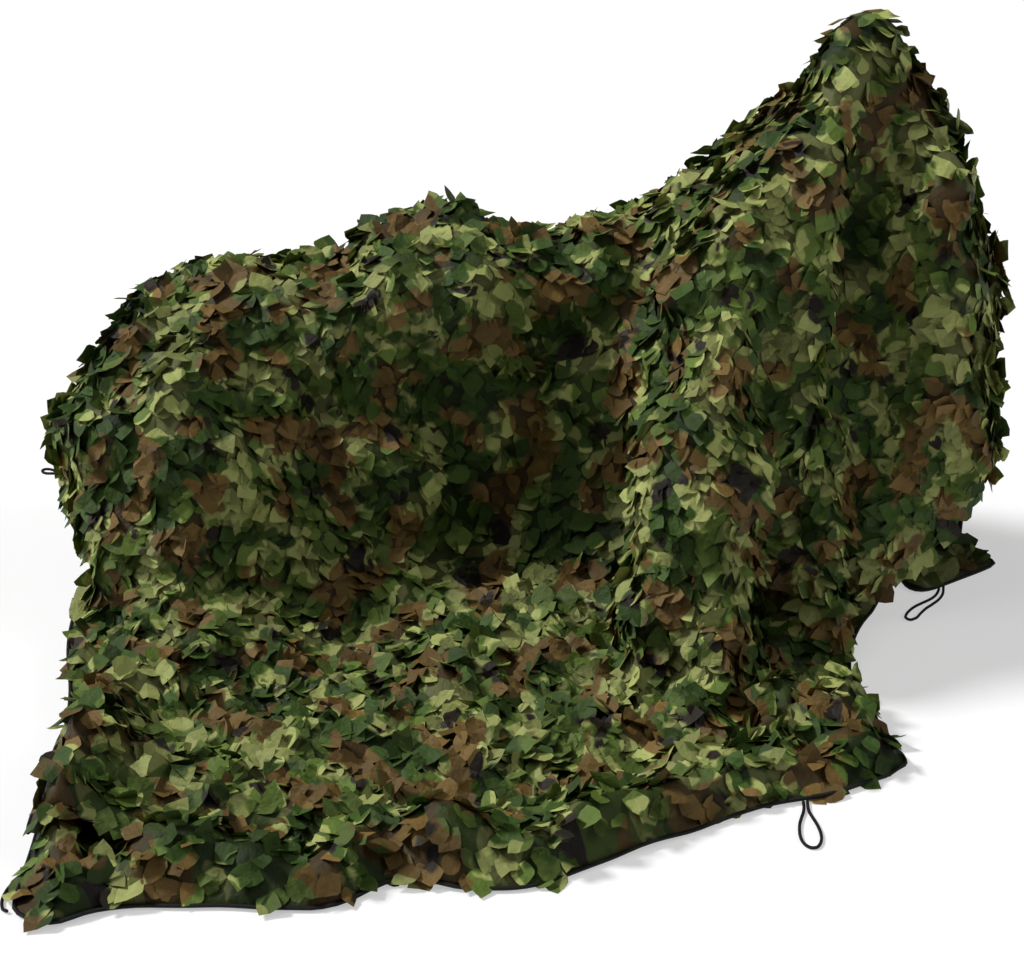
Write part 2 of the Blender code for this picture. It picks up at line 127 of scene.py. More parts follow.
def vector_maths(tree, operation, *values):
    """The vector result of a Vector Math node."""
    inputs = dict(enumerate(values))
    return node(tree, "ShaderNodeVectorMath", inputs, operation=operation).outputs[0]


def scaled(tree, vector, factor):
    """A vector made longer or shorter."""
    inputs = {0: vector, "Scale": factor}
    return node(tree, "ShaderNodeVectorMath", inputs, operation="SCALE").outputs[0]


def parts(tree, vector):
    """The X, Y and Z of a vector."""
    return tuple(node(tree, "ShaderNodeSeparateXYZ", {0: vector}).outputs)


def joined(tree, x=0.0, y=0.0, z=0.0):
    """A vector from its X, Y and Z."""
    return node(tree, "ShaderNodeCombineXYZ", {0: x, 1: y, 2: z}).outputs[0]


def remapped(tree, value, low, high, to_low=0.0, to_high=1.0):
    """A value moved from one range to another, and held inside it."""
    before = {"From Min": low, "From Max": high}
    after = {"To Min": to_low, "To Max": to_high}
    return node(tree, "ShaderNodeMapRange", {"Value": value, **before, **after}).outputs[0]


def mixed(tree, share, first, second, blend="MIX"):
    """Two colours mixed, by a share of the second."""
    inputs = {0: share, 6: first, 7: second}  # the sockets 6 and 7 are those for colours
    return node(tree, "ShaderNodeMix", inputs, data_type="RGBA", blend_type=blend).outputs[2]


print("the helpers for node trees are ready")

# %% [markdown]
# ## The cloth's surface
#
# The real cloth is thin, and the frame's sheet is a closed shell 3 mm thick. The looks need only
# its outer side. It could be picked by which way the faces look, but cloth that folds back looks
# every way. So the narrow faces round the rim go first: their short edges are exactly as long as
# the cloth is thick. What then hangs together with the highest point is the outer side.

# %% Outer side of the frame's sheet
THICK = 0.003
MERGE = 0.0001  # points closer than this become one
SAME_LENGTH = MERGE / 10


def outer_side(source):
    """A bmesh of the outer side of a thin closed sheet, in quads where they fit."""
    shell = bmesh.new()
    shell.from_mesh(source.data)
    bmesh.ops.remove_doubles(shell, verts=shell.verts, dist=MERGE)
    posts = [e for e in shell.edges if abs(e.calc_length() - THICK) < SAME_LENGTH]
    rim = {face for post in posts for face in post.link_faces}
    bmesh.ops.delete(shell, geom=list(rim), context="FACES")
    waiting = [max(shell.verts, key=lambda v: v.co.z)]
    kept = set(waiting)
    while waiting:
        corner = waiting.pop()
        for edge in corner.link_edges:
            other = edge.other_vert(corner)
            if other not in kept:
                kept.add(other)
                waiting.append(other)
    bmesh.ops.delete(shell, geom=[v for v in shell.verts if v not in kept], context="VERTS")
    bmesh.ops.join_triangles(
        shell, faces=shell.faces, angle_face_threshold=math.pi, angle_shape_threshold=math.pi
    )
    return shell


def new_object(name, data):
    made = bpy.data.objects.new(name, data)
    bpy.context.scene.collection.objects.link(made)
    return made


shell = outer_side(frame["nodes"]["camouflage_sheet"])
surface_mesh = bpy.data.meshes.new("surface")
shell.to_mesh(surface_mesh)
shell.free()
surface = new_object("surface", surface_mesh)
print("outer side:", len(surface_mesh.vertices), "points,", len(surface_mesh.polygons), "faces")

# %% [markdown]
# ## The cloth laid flat again
#
# The real net is printed and cut while it lies flat, so the print and the rows of cuts belong to
# the flat cloth and not to the drape. A map seen from above would be simple, but it would stretch
# on every steep side. Unwrapping with the least stretch gives each point its place on the flat
# cloth. The map is scaled to metres by comparing areas, and turned so that its first axis runs from
# the rear of the net to its front.


# %% Flat places in metres
def unwrap(target):
    """Lays an object's mesh flat in a UV map of the name "flat"."""
    bpy.context.view_layer.objects.active = target
    target.select_set(True)
    target.data.uv_layers.new(name="flat")
    bpy.ops.object.mode_set(mode="EDIT")
    bpy.ops.mesh.select_all(action="SELECT")
    bpy.ops.uv.unwrap(method="MINIMUM_STRETCH", fill_holes=False, margin=0.0)
    bpy.ops.object.mode_set(mode="OBJECT")


def read(items, field, width):
    """A field of many mesh elements as a numpy array."""
    values = np.zeros(len(items) * width)
    items.foreach_get(field, values)
    return values.reshape(-1, width)


def polygon_areas(points, mesh):
    """The area of each face, with its corners at the given points."""
    areas = []
    for face in mesh.polygons:
        corners = points[list(face.loop_indices)]
        around = np.cross(corners, np.roll(corners, -1, axis=0)).sum(axis=0)
        areas.append(np.linalg.norm(around) / 2)
    return np.array(areas)


unwrap(surface)
corner_index = [loop.vertex_index for loop in surface_mesh.loops]
places = read(surface_mesh.vertices, "co", 3)
flat = read(surface_mesh.uv_layers["flat"].data, "uv", 2)
flat -= (flat.min(axis=0) + flat.max(axis=0)) / 2
real_area = polygon_areas(places[corner_index], surface_mesh).sum()
map_area = polygon_areas(np.pad(flat, ((0, 0), (0, 1))), surface_mesh).sum()
flat *= math.sqrt(real_area / map_area)
slope = np.linalg.lstsq(flat, places[corner_index][:, 0], rcond=None)[0]
turn = math.atan2(slope[1], slope[0])
cosine, sine = math.cos(turn), math.sin(turn)
flat = flat @ np.array([[cosine, -sine], [sine, cosine]])
surface_mesh.uv_layers["flat"].data.foreach_set("uv", flat.ravel())
flat_size = flat.max(axis=0) - flat.min(axis=0)
print("cloth:", round(real_area, 2), "square metres; laid flat it spans", flat_size.round(2))

# %% [markdown]
# ## A finer surface
#
# Cloth has no flat facets, and the frame's sheet has. The surface could be made anew from more
# sections, but one level of subdivision rounds its folds and keeps the flat places on it.

# %% Subdivide the surface
SMOOTHING = 1


def finish_modifiers(target):
    """Replaces an object's mesh with its evaluated one and drops the modifiers."""
    graph = bpy.context.evaluated_depsgraph_get()
    mesh = bpy.data.meshes.new_from_object(target.evaluated_get(graph), depsgraph=graph)
    target.modifiers.clear()
    target.data = mesh
    return mesh


rounder = surface.modifiers.new("round", "SUBSURF")
rounder.levels = rounder.render_levels = SMOOTHING
surface_mesh = finish_modifiers(surface)
places = read(surface_mesh.vertices, "co", 3)
outward = read(surface_mesh.vertices, "normal", 3)
flat_of = np.zeros((len(places), 2))
flat_of[[loop.vertex_index for loop in surface_mesh.loops]] = read(
    surface_mesh.uv_layers["flat"].data, "uv", 2
)
print("surface:", len(surface_mesh.polygons), "faces")

# %% [markdown]
# Much below depends on how far a point lies from the edge of the cloth, because the cord that is
# sewn on there holds it. The distance could be followed along the drape from point to point. On the
# flat cloth it is simply a straight line, so it is measured there.


# %% Distance to the edge
def edge_ring(mesh):
    """The indices of the points round the open edge, in order."""
    work = bmesh.new()
    work.from_mesh(mesh)
    start = next(e for e in work.edges if e.is_boundary)
    ring, point, edge = [], start.verts[0], start
    while not ring or point is not start.verts[0]:
        ring.append(point.index)
        point = edge.other_vert(point)
        edge = next(e for e in point.link_edges if e.is_boundary and e is not edge)
    work.free()
    return ring


ring = edge_ring(surface_mesh)
ring_flat = flat_of[ring]
from_edge = np.array([np.min(np.hypot(*(ring_flat - place).T)) for place in flat_of])
print("edge of", len(ring), "points; the middle is", round(from_edge.max(), 2), "m away from it")

# %% [markdown]
# A few large folds give the drape its character: hollows where the cloth hangs slack between two
# parts of the vehicle, and swellings where something pushes it out. They could be sculpted, but
# then nobody could read their sizes or move one. Here each is a line on the drape with a width and
# a depth, and the cloth near the line moves in or out by a bell-shaped amount.

# %% Large folds
FOLD_COLUMNS = ("name", "width", "depth", "line")
FOLDS = (
    ("front valley", 0.070, 0.105,
     ((0.95, -0.19, 0.08), (0.92, -0.26, -0.08), (0.90, -0.34, -0.24), (0.88, -0.40, -0.42),
      (0.85, -0.43, -0.56))),
    ("tank hollow", 0.100, 0.105,
     ((0.38, -0.22, -0.06), (0.30, -0.21, -0.20), (0.26, -0.25, -0.34), (0.30, -0.23, -0.49),
      (0.23, -0.25, -0.64))),
    ("seat hollow", 0.065, 0.055,
     ((-0.12, -0.27, -0.18), (0.01, -0.20, -0.29), (0.16, -0.22, -0.35))),
    ("under the bag", 0.055, 0.050,
     ((-0.08, -0.28, -0.62), (0.05, -0.28, -0.71), (0.20, -0.30, -0.70))),
    ("bag", 0.055, -0.030, ((-0.06, -0.22, -0.50), (0.05, -0.19, -0.56))),
    ("rear end", 0.060, 0.045,
     ((-0.62, -0.20, -0.22), (-0.68, -0.23, -0.26), (-0.64, -0.36, -0.37), (-0.62, -0.40, -0.52),
      (-0.59, -0.46, -0.63))),
    ("rear ridge", 0.070, -0.030,
     ((-0.50, -0.30, -0.28), (-0.44, -0.37, -0.41), (-0.38, -0.38, -0.57))),
    ("skirt fold", 0.060, 0.035,
     ((0.67, -0.59, -0.44), (0.61, -0.65, -0.59), (0.52, -0.69, -0.71), (0.47, -0.76, -0.81))),
    ("front ridge", 0.060, -0.030,
     ((1.12, -0.21, 0.10), (1.14, -0.29, -0.10), (1.13, -0.33, -0.32))),
    ("front valley, right side", 0.050, 0.045,
     ((0.99, -0.24, -0.06), (1.00, -0.28, -0.20), (0.98, -0.31, -0.38))),
    ("peak ridge", 0.050, -0.024,
     ((0.90, -0.10, 0.35), (0.86, -0.23, 0.24), (0.83, -0.33, 0.12))),
    ("neck hollow", 0.060, 0.050,
     ((0.47, -0.14, 0.00), (0.48, -0.24, -0.06), (0.48, -0.27, -0.14))),
    ("first apron fold", 0.035, -0.040,
     ((0.46, -0.62, -0.70), (0.40, -0.72, -0.84), (0.34, -1.05, -0.85))),
    ("second apron fold", 0.035, -0.045,
     ((0.59, -0.69, -0.71), (0.57, -0.82, -0.83), (0.53, -1.03, -0.84))),
    ("third apron fold", 0.035, -0.045,
     ((0.75, -0.50, -0.83), (0.74, -0.78, -0.82), (0.72, -0.96, -0.85))),
    ("corner gather", 0.045, -0.045,
     ((-0.66, -1.24, -0.83), (-0.60, -1.25, -0.80), (-0.50, -1.25, -0.82))),
    ("second gather", 0.040, -0.040,
     ((-0.46, -1.32, -0.86), (-0.42, -1.31, -0.86), (-0.37, -1.28, -0.87))),
    ("third gather", 0.045, -0.035,
     ((-0.33, -1.31, -0.87), (-0.21, -1.33, -0.87), (-0.09, -1.30, -0.86))),
    ("fourth gather", 0.040, -0.035,
     ((0.04, -1.25, -0.86), (0.13, -1.24, -0.86), (0.20, -1.21, -0.87))),
)


def distance_to_line(points, line):
    """The distance of each point to the nearest part of a line through a few places."""
    line = np.array(line)
    nearest = np.full(len(points), np.inf)
    for first, last in zip(line[:-1], line[1:]):
        step = last - first
        share = np.clip((points - first) @ step / (step @ step), 0, 1)
        gap = np.linalg.norm(points - first - share[:, None] * step, axis=1)
        nearest = np.minimum(nearest, gap)
    return nearest


folds = np.zeros(len(places))
for row in FOLDS:
    fold = dict(zip(FOLD_COLUMNS, row))
    near = distance_to_line(places, fold["line"])
    folds -= fold["depth"] * np.exp(-((near / fold["width"]) ** 2))
print("folds go in", round(-folds.min(), 3), "and out", round(folds.max(), 3))

# %% [markdown]
# The hem on the near side doesn't lie quite flat. The cloth rises from its cord in a low roll, and
# sinks back to the ground behind it. One more fold in the table above would be as high everywhere.
# The real roll bunches up unevenly, so it gets a height that follows a noise.

# %% Roll along the near hem
ROLL_HEIGHT, ROLL_AT, ROLL_BACK = 0.060, 0.060, 0.16
ROLL_BUNCH, ROLL_UNEVEN = 0.12, 0.9  # length of a bunch, and how uneven the height is
NEAR_RAMP, NEAR_START = 0.3, 1.6  # it sets in at their product and is full one ramp further out


def ease(value):
    """A smooth step from 0 to 1."""
    value = np.clip(value, 0, 1)
    return value * value * (3 - 2 * value)


near_side = ease(-places[:, 1] / NEAR_RAMP - NEAR_START)
roll = ROLL_HEIGHT * near_side * ease(from_edge / ROLL_AT)
roll *= 1 - ease((from_edge - ROLL_AT) / ROLL_BACK)
roll *= [1 + ROLL_UNEVEN * noise.noise(Vector(p) / ROLL_BUNCH) for p in places]
print("roll rises", round(roll.max(), 3))

# %% [markdown]
# A cord is sewn round the edge. It runs just outside the edge of the cloth, and a hem that lies low
# rests on it. The frame's cord is only a mesh by now and no longer has a line to follow. So the
# line is worked out again from the edge, and the cloth's last points are pulled into its middle.

# %% The line of the edge cord
EDGE_CORD_R, PIECE_GAP, FLOOR_GAP = 0.004, 0.0020, 0.0004
EDGE_LIFT = 2 * EDGE_CORD_R + PIECE_GAP + FLOOR_GAP  # least height of the middle of the edge


def edge_path():
    """Just outside the edge of the surface; a low hem lies on the cord."""
    rim = places[ring]
    out = outward[ring]
    along = np.roll(rim, -1, axis=0) - np.roll(rim, 1, axis=0)
    away = np.cross(along, out)
    inward = places.mean(axis=0) - rim
    away /= np.linalg.norm(away, axis=1, keepdims=True)
    if (away * inward).sum() > 0:
        away = -away
    path = rim - out * THICK / 2 + away * (EDGE_CORD_R + PIECE_GAP)
    heights = (rim[:, 2] - FLOOR) / EDGE_LIFT
    sink = EDGE_CORD_R * np.clip(2 - heights, 0, 1)  # all of it up to 1, none from 2 on
    path[:, 2] = np.maximum(path[:, 2] - sink, FLOOR + EDGE_CORD_R + FLOOR_GAP)
    return path


print("the middle of a low hem lies", round(EDGE_LIFT, 4), "m above the ground")

# %% [markdown]
# Loose cloth also has lumps the size of a hand. A Displace modifier could lift them, but it knows
# neither the edge nor the ground. So a smooth noise is worked out at each point. The lumps and the
# folds fade out at the edge, where the cord holds the cloth straight, and nothing goes into the
# ground.

# %% Small lumps, and the cloth in its final place
LUMPS = ((0.17, 0.022), (0.10, 0.014), (0.07, 0.006))  # size and height of each kind of lump
LEAF_ROOM = 0.006  # how far the cloth lies inside the frame's sheet, to leave room for leaves
EDGE_FADE = 0.06

lumps = np.array(
    [
        sum(2 * height * noise.noise(Vector(p) / size) for size, height in LUMPS)
        for p in places
    ]
)
lumps -= LEAF_ROOM
lumps = (lumps + folds) * np.clip(from_edge / EDGE_FADE, 0, 1)
places += outward * lumps[:, None]
places[:, 2] += roll
places[:, 2] = np.maximum(places[:, 2], FLOOR + THICK)
edge_line = edge_path()
places[ring] = edge_line
surface_mesh.vertices.foreach_set("co", places.ravel())
surface_mesh.update()
surface_mesh.shade_smooth()
print("cloth reaches from", places.min(axis=0).round(3), "to", places.max(axis=0).round(3))

# %% [markdown]
# ## Where the net lies calm
#
# Along the front half of the near hem, up to a little before the front corner, the cord pulls the
# cloth straight, and the leaves lie nearly flat. Elsewhere they stand up right to the edge. The
# leaves there could be a group of their own, but the change is gradual. So a value on the surface
# keeps how calm the cloth is, for the leaves to read.

# %% Calm hem
CALM_WIDTH, CALM_REACH = 0.024, 1.6  # the calm fades over the width and is gone at their product
CALM_FROM, CALM_TO = 0.16, 0.30  # where it sets in along X
CALM_END, CALM_OUT = 0.74, 0.84  # and where it ends, short of the front corner

calm = np.clip((places[:, 0] - CALM_FROM) / (CALM_TO - CALM_FROM), 0, 1)
calm *= 1 - np.clip((places[:, 0] - CALM_END) / (CALM_OUT - CALM_END), 0, 1)
calm *= near_side * np.clip(CALM_REACH - from_edge / CALM_WIDTH, 0, 1)
calm_layer = surface_mesh.attributes.new("calm", "FLOAT", "POINT")
calm_layer.data.foreach_set("value", calm)
edge_layer = surface_mesh.attributes.new("from_edge", "FLOAT", "POINT")
edge_layer.data.foreach_set("value", from_edge)
print("calm points:", int((calm > 0.5).sum()))

# %% [markdown]
# ## The print
#
# A woodland print has five colours in irregular blotches a hand or two long, laid over each other
# like cut paper. An image could carry them, but it would be coarse close by, and a noise is sharp
# at any distance. Each colour is one noise on the flat cloth, pushed out of shape by another noise
# and cut off sharply at a level. Where the level is high the colour covers little.

# %% Print node group
# A colour shows where its noise is above the level; the place is how far off the noise is read,
# so that no two colours share one.
PRINT_COLUMNS = ("name", "colour", "scale", "level", "place")
PRINT = (
    ("pale", (0.275, 0.300, 0.095), 11.0, 0.50, 66.0),
    ("deep", (0.034, 0.066, 0.010), 9.5, 0.535, 87.0),
    ("brown", (0.130, 0.080, 0.022), 9.0, 0.565, 38.0),
    ("black", (0.020, 0.015, 0.010), 11.5, 0.66, 150.0),
)
GROUND_COLOUR = (0.083, 0.126, 0.022)
WARP_SCALE, WARP_SIZE = 15.0, 0.040
PRINT_DETAIL, PRINT_ROUGHNESS = 1.5, 0.45  # how ragged a blotch is
EDGE_SOFTNESS = 0.012  # of the level, to each side


def print_group():
    """A node group that turns a flat place in metres into the print's colour."""
    tree = bpy.data.node_groups.new("woodland print", "ShaderNodeTree")
    tree.interface.new_socket("Flat place", in_out="INPUT", socket_type="NodeSocketVector")
    tree.interface.new_socket("Colour", in_out="OUTPUT", socket_type="NodeSocketColor")
    start = node(tree, "NodeGroupInput").outputs[0]
    warp = node(tree, "ShaderNodeTexNoise", {"Vector": start, "Scale": WARP_SCALE})
    warp = vector_maths(tree, "SUBTRACT", warp.outputs["Color"], (0.5, 0.5, 0.5))
    place = vector_maths(tree, "ADD", start, scaled(tree, warp, WARP_SIZE))
    colour = (*GROUND_COLOUR, 1)
    for row in PRINT:
        blotch = dict(zip(PRINT_COLUMNS, row))
        inputs = {
            "Vector": vector_maths(tree, "ADD", place, (0, 0, blotch["place"])),
            "Scale": blotch["scale"],
            "Detail": PRINT_DETAIL,
            "Roughness": PRINT_ROUGHNESS,
        }
        field = node(tree, "ShaderNodeTexNoise", inputs).outputs["Fac"]
        low, high = blotch["level"] - EDGE_SOFTNESS, blotch["level"] + EDGE_SOFTNESS
        share = remapped(tree, field, low, high)
        colour = mixed(tree, share, colour, (*blotch["colour"], 1))
    node(tree, "NodeGroupOutput", {0: colour})
    return tree


PRINT_TREE = print_group()
print("print:", [row[0] for row in PRINT], "on green")

# %% [markdown]
# ## Cloth materials
#
# The real net is one cloth, so the leaves and the backing share the print, uneven soiling, small
# creases and a fine plain weave. Creases and threads could be modelled, but there are far too many,
# so a bump stands for them. Each leaf is also a little lighter or darker than the next: partly its
# own tone, and partly painted light and shade for the way it faces the light. The backing lies in
# the shade of real leaves that are denser than these, so its colour is darkened as painted shade.
# Where the cloth is calm, leaves shade it less, and it is darkened less.

# %% Cloth materials
WEAVE_SCALE = 900.0  # threads to a metre
WEAVE_HEIGHT, WEAVE_STRENGTH = 0.00025, 0.3
CRUMPLE_SCALE = 75.0  # small creases to a metre, which cutting and packing left
CRUMPLE_HEIGHT, CRUMPLE_STRENGTH = 0.0045, 0.7
SOIL_SCALE, SOIL_LEAST, SOIL_MOST = 30.0, 0.7, 1.3  # soiling, as a share of the print's lightness
# Painted light and shade: on the leaves partly their own tone and partly painted light for how each
# faces the light; the backing's print darkened as painted shade, less where calm.
PAINTED_LIGHT_AND_TONE = {  # the attribute that it follows, and its least and most
    "leaf cloth": ("shade", 0.6, 1.4),
    # the backing's darkening is painted shade, lighter where the cloth is calm
    "backing cloth": ("calm", 0.35, 0.5),
}
CLOTH_ROUGHNESS, DULL_SHINE = 0.6, 0.2


def new_material(name):
    made = bpy.data.materials.new(name)
    made.use_nodes = True
    return made, made.node_tree, made.node_tree.nodes["Principled BSDF"]


def bumped(tree, height, distance, strength, **under):
    """A bump of a given height, on another one if that is given as Normal."""
    inputs = {"Height": height, "Distance": distance, "Strength": strength, **under}
    return node(tree, "ShaderNodeBump", inputs).outputs[0]


def cloth_bump(tree, flat_place):
    """Small creases, and on them a plain weave of two sets of threads at right angles."""
    inputs = {"Vector": flat_place, "Scale": CRUMPLE_SCALE, "Detail": 2.0}
    creases = node(tree, "ShaderNodeTexNoise", inputs).outputs[0]
    crumple = bumped(tree, creases, CRUMPLE_HEIGHT, CRUMPLE_STRENGTH)
    x, y, _ = parts(tree, flat_place)
    turn = 2 * math.pi * WEAVE_SCALE
    warp = maths(tree, "SINE", maths(tree, "MULTIPLY", x, turn))
    weft = maths(tree, "SINE", maths(tree, "MULTIPLY", y, turn))
    weave = maths(tree, "MULTIPLY", warp, weft)
    return bumped(tree, weave, WEAVE_HEIGHT, WEAVE_STRENGTH, Normal=crumple)


def cloth_material(name):
    """The printed cloth, with soiling, and a lightness that is painted light and shade, on the
    leaves partly their own tone.
    """
    made, tree, shader = new_material(name)
    flat_place = node(tree, "ShaderNodeUVMap", uv_map="flat").outputs[0]
    colour = node(tree, "ShaderNodeGroup", {0: flat_place}, node_tree=PRINT_TREE).outputs[0]
    inputs = {"Vector": flat_place, "Scale": SOIL_SCALE, "Detail": 4.0}
    soil = node(tree, "ShaderNodeTexNoise", inputs).outputs[0]
    soil = remapped(tree, soil, 0.0, 1.0, SOIL_LEAST, SOIL_MOST)
    layer, least, most = PAINTED_LIGHT_AND_TONE[name]
    # This lightness is painted light and shade, on the leaves mixed with their own random tone.
    lightness_and_painted_light = node(tree, "ShaderNodeAttribute", attribute_name=layer).outputs["Fac"]
    lightness_and_painted_light = remapped(tree, lightness_and_painted_light, 0.0, 1.0, least, most)
    soil_and_painted_light = maths(tree, "MULTIPLY", soil, lightness_and_painted_light)
    tinted = mixed(tree, 1.0, colour, soil_and_painted_light, blend="MULTIPLY")
    tree.links.new(tinted, shader.inputs["Base Color"])
    tree.links.new(cloth_bump(tree, flat_place), shader.inputs["Normal"])
    shader.inputs["Roughness"].default_value = CLOTH_ROUGHNESS
    shader.inputs["Specular IOR Level"].default_value = DULL_SHINE
    return made


LEAF_CLOTH = cloth_material("leaf cloth")
BACKING_CLOTH = cloth_material("backing cloth")
print("materials:", LEAF_CLOTH.name, "and", BACKING_CLOTH.name)

# %% [markdown]
# ## The backing sheet
#
# Between the real leaves a dark mesh and the deep shade under them show, far too fine to be seen as
# one. A sheet without holes looks the same from here, its print darkened as painted shade. It is
# the surface given a thickness by a Solidify modifier, which is simpler than building an inner
# side, and it lies a little inside the leaves.

# %% Backing sheet
BACKING_THICK = 0.0015


def backing_sheet():
    """The surface as a thin closed shell in the backing's cloth."""
    made = new_object("net_backing", surface_mesh.copy())
    wall = made.modifiers.new("wall", "SOLIDIFY")
    wall.thickness = BACKING_THICK
    wall.offset = -1.0  # inwards only
    mesh = finish_modifiers(made)
    mesh.materials.clear()
    mesh.materials.append(BACKING_CLOTH)
    return made


backing = backing_sheet()
print("backing:", len(backing.data.polygons), "faces")

# %% [markdown]
# ## Leaf shapes
#
# A stamped slit leaves a small tongue of cloth that hangs on at its neck. No two tear and curl
# alike. Modelling hundreds would be endless and one would show, so a short table gives a few
# outlines and bends. Each row becomes a thin closed petal one unit long: its upper and under sides
# share the rim, and the middle is a little thicker. It has only 12 faces, because thousands follow.

# %% Leaf shapes
# Half the width at four rows of points; how the tip leans, slants and comes to a point; and how the
# leaf curls, kinks, creases and rolls out of its plane.
LEAF_COLUMNS = (
    "neck", "low", "high", "tip", "lean", "slant", "point", "curl", "kink", "crease", "roll"
)
LEAF_SHAPES = (
    (0.34, 0.44, 0.46, 0.40, 0.05, 0.16, 0.00, 0.04, 0.10, 0.00, 0.10),
    (0.30, 0.48, 0.46, 0.26, -0.10, 0.00, 0.06, -0.05, -0.15, 0.20, 0.00),
    (0.38, 0.50, 0.50, 0.34, 0.00, -0.10, 0.08, 0.10, 0.00, -0.20, 0.05),
    (0.32, 0.44, 0.48, 0.44, 0.08, 0.00, -0.12, 0.05, 0.20, 0.00, -0.15),
    (0.28, 0.40, 0.40, 0.24, 0.18, 0.10, 0.00, -0.08, 0.15, 0.25, 0.00),
    (0.42, 0.52, 0.52, 0.42, -0.05, 0.14, 0.03, 0.12, -0.20, 0.10, 0.10),
    (0.30, 0.44, 0.42, 0.22, 0.22, -0.16, 0.00, -0.08, 0.25, -0.15, 0.00),
    (0.36, 0.44, 0.46, 0.44, 0.00, 0.06, 0.00, 0.10, -0.35, 0.00, 0.15),
)
LEAF_ROWS = (0.0, 0.36, 0.70, 1.0)  # the share of the length at each row of points
LEAF_ACROSS = (-1.0, 0.0, 1.0)
LEAF_BODY = 0.012  # half the thickness in the middle, for a leaf one long


def leaf_point(shape, across, along):
    """Where a point of a leaf lies: X across, Y from neck to tip, Z out of the cloth."""
    half = np.interp(along, LEAF_ROWS, [shape[k] for k in ("neck", "low", "high", "tip")])
    x = across * half + shape["lean"] * along * along
    y = along
    if along == 1:
        y += shape["slant"] * across + shape["point"] * (1 - abs(across))
    z = shape["curl"] * along * along + shape["kink"] * max(0.0, along - LEAF_ROWS[1])
    z += shape["crease"] * half * max(0.0, across) + shape["roll"] * half * across * across
    return x, y, z


def leaf_mesh(number, row):
    """A thin closed leaf; the edge points are shared by its upper and under sides."""
    shape = dict(zip(LEAF_COLUMNS, row))
    wide, long = len(LEAF_ACROSS), len(LEAF_ROWS)
    made = bmesh.new()
    petal = made.verts.layers.float_vector.new("petal")
    sides = ({}, {})
    for j, along in enumerate(LEAF_ROWS):
        for i, across in enumerate(LEAF_ACROSS):
            x, y, z = leaf_point(shape, across, along)
            rim = i in (0, wide - 1) or j in (0, long - 1)
            for side, body in zip(sides, (LEAF_BODY, -LEAF_BODY)):
                if rim and side is sides[1]:
                    side[i, j] = sides[0][i, j]
                    continue
                side[i, j] = made.verts.new((x, y, z + (0 if rim else body)))
                side[i, j][petal] = (x, y, 0)
    for j in range(long - 1):
        for i in range(wide - 1):
            cell = ((i, j), (i + 1, j), (i + 1, j + 1), (i, j + 1))
            made.faces.new([sides[0][c] for c in cell])
            made.faces.new([sides[1][c] for c in reversed(cell)])
    mesh = bpy.data.meshes.new(f"leaf_{number}")
    made.to_mesh(mesh)
    made.free()
    mesh.materials.append(LEAF_CLOTH)
    return mesh


leaf_shapes = bpy.data.collections.new("leaf shapes")
for number, row in enumerate(LEAF_SHAPES):
    leaf_shapes.objects.link(bpy.data.objects.new(f"leaf_{number}", leaf_mesh(number, row)))

# %% [markdown]
# ## Leaves over the whole net
#
# Thousands of leaves cover the real net, in the rows that the cutter stamped. They could be placed
# by hand or with a particle system, but they follow one rule, so Geometry Nodes set them out. The
# tree makes a lattice on the flat cloth, looks up where each place lies on the drape, and puts a
# leaf there that points along the cloth and tilts out of it. First the tree gets its named inputs.

# %% The tree and what it is told
LEAF_INPUTS = (
    ("Pitch", "Float"),
    ("Row step", "Float"),
    ("Columns", "Int"),
    ("Rows", "Int"),
    ("Leaf length", "Float"),
    ("Tilt", "Float"),
    ("Tilt spread", "Float"),
    ("Hang", "Float"),
    ("Band start", "Float"),
    ("Band end", "Float"),
    ("Floor", "Float"),
    ("Seed", "Int"),
    ("Shapes", "Collection"),
    ("Cloth", "Material"),
)


def new_leaves_tree():
    """A tree with named inputs and one output, and nothing between them yet."""
    tree = bpy.data.node_groups.new("leaves", "GeometryNodeTree")
    add_socket = tree.interface.new_socket
    add_socket("Surface", in_out="INPUT", socket_type="NodeSocketGeometry")
    for name, kind in LEAF_INPUTS:
        add_socket(name, in_out="INPUT", socket_type="NodeSocket" + kind)
    add_socket("Leaves", in_out="OUTPUT", socket_type="NodeSocketGeometry")
    return tree


LEAVES_TREE = new_leaves_tree()
given = node(LEAVES_TREE, "NodeGroupInput").outputs
print("leaves tree takes:", [socket.name for socket in given if socket.name])

# %% [markdown]
# In Geometry Nodes a field is a value that each point works out for itself. It can be stored on
# the points under a name and read back later, when they have moved. These helpers store a field,
# read it, draw one at random, and look up what the surface holds at a flat place.

# %% Helpers for fields
VECTOR = "FLOAT_VECTOR"
RANDOM_SOCKETS = {VECTOR: (0, 0), "FLOAT": (2, 1), "INT": (4, 2)}  # first input, and output


def random_value(tree, low, high, seed, offset, kind="FLOAT"):
    """A random value for each element, steady for a given seed; the offset keeps draws apart."""
    first, result = RANDOM_SOCKETS[kind]
    own_seed = maths(tree, "ADD", seed, offset)
    limits = {first: low, first + 1: high, "Seed": own_seed}
    return node(tree, "FunctionNodeRandomValue", limits, data_type=kind).outputs[result]


def keep(tree, geometry, name, value, kind="FLOAT", domain="POINT"):
    """Stores a field under a name."""
    inputs = {"Geometry": geometry, "Name": name, "Value": value}
    stored = node(
        tree, "GeometryNodeStoreNamedAttribute", inputs, data_type=kind, domain=domain
    )
    return stored.outputs[0]


def kept(tree, name, kind="FLOAT"):
    """The field that is stored under a name."""
    return node(
        tree, "GeometryNodeInputNamedAttribute", {"Name": name}, data_type=kind
    ).outputs[0]


def position(tree):
    return node(tree, "GeometryNodeInputPosition").outputs[0]


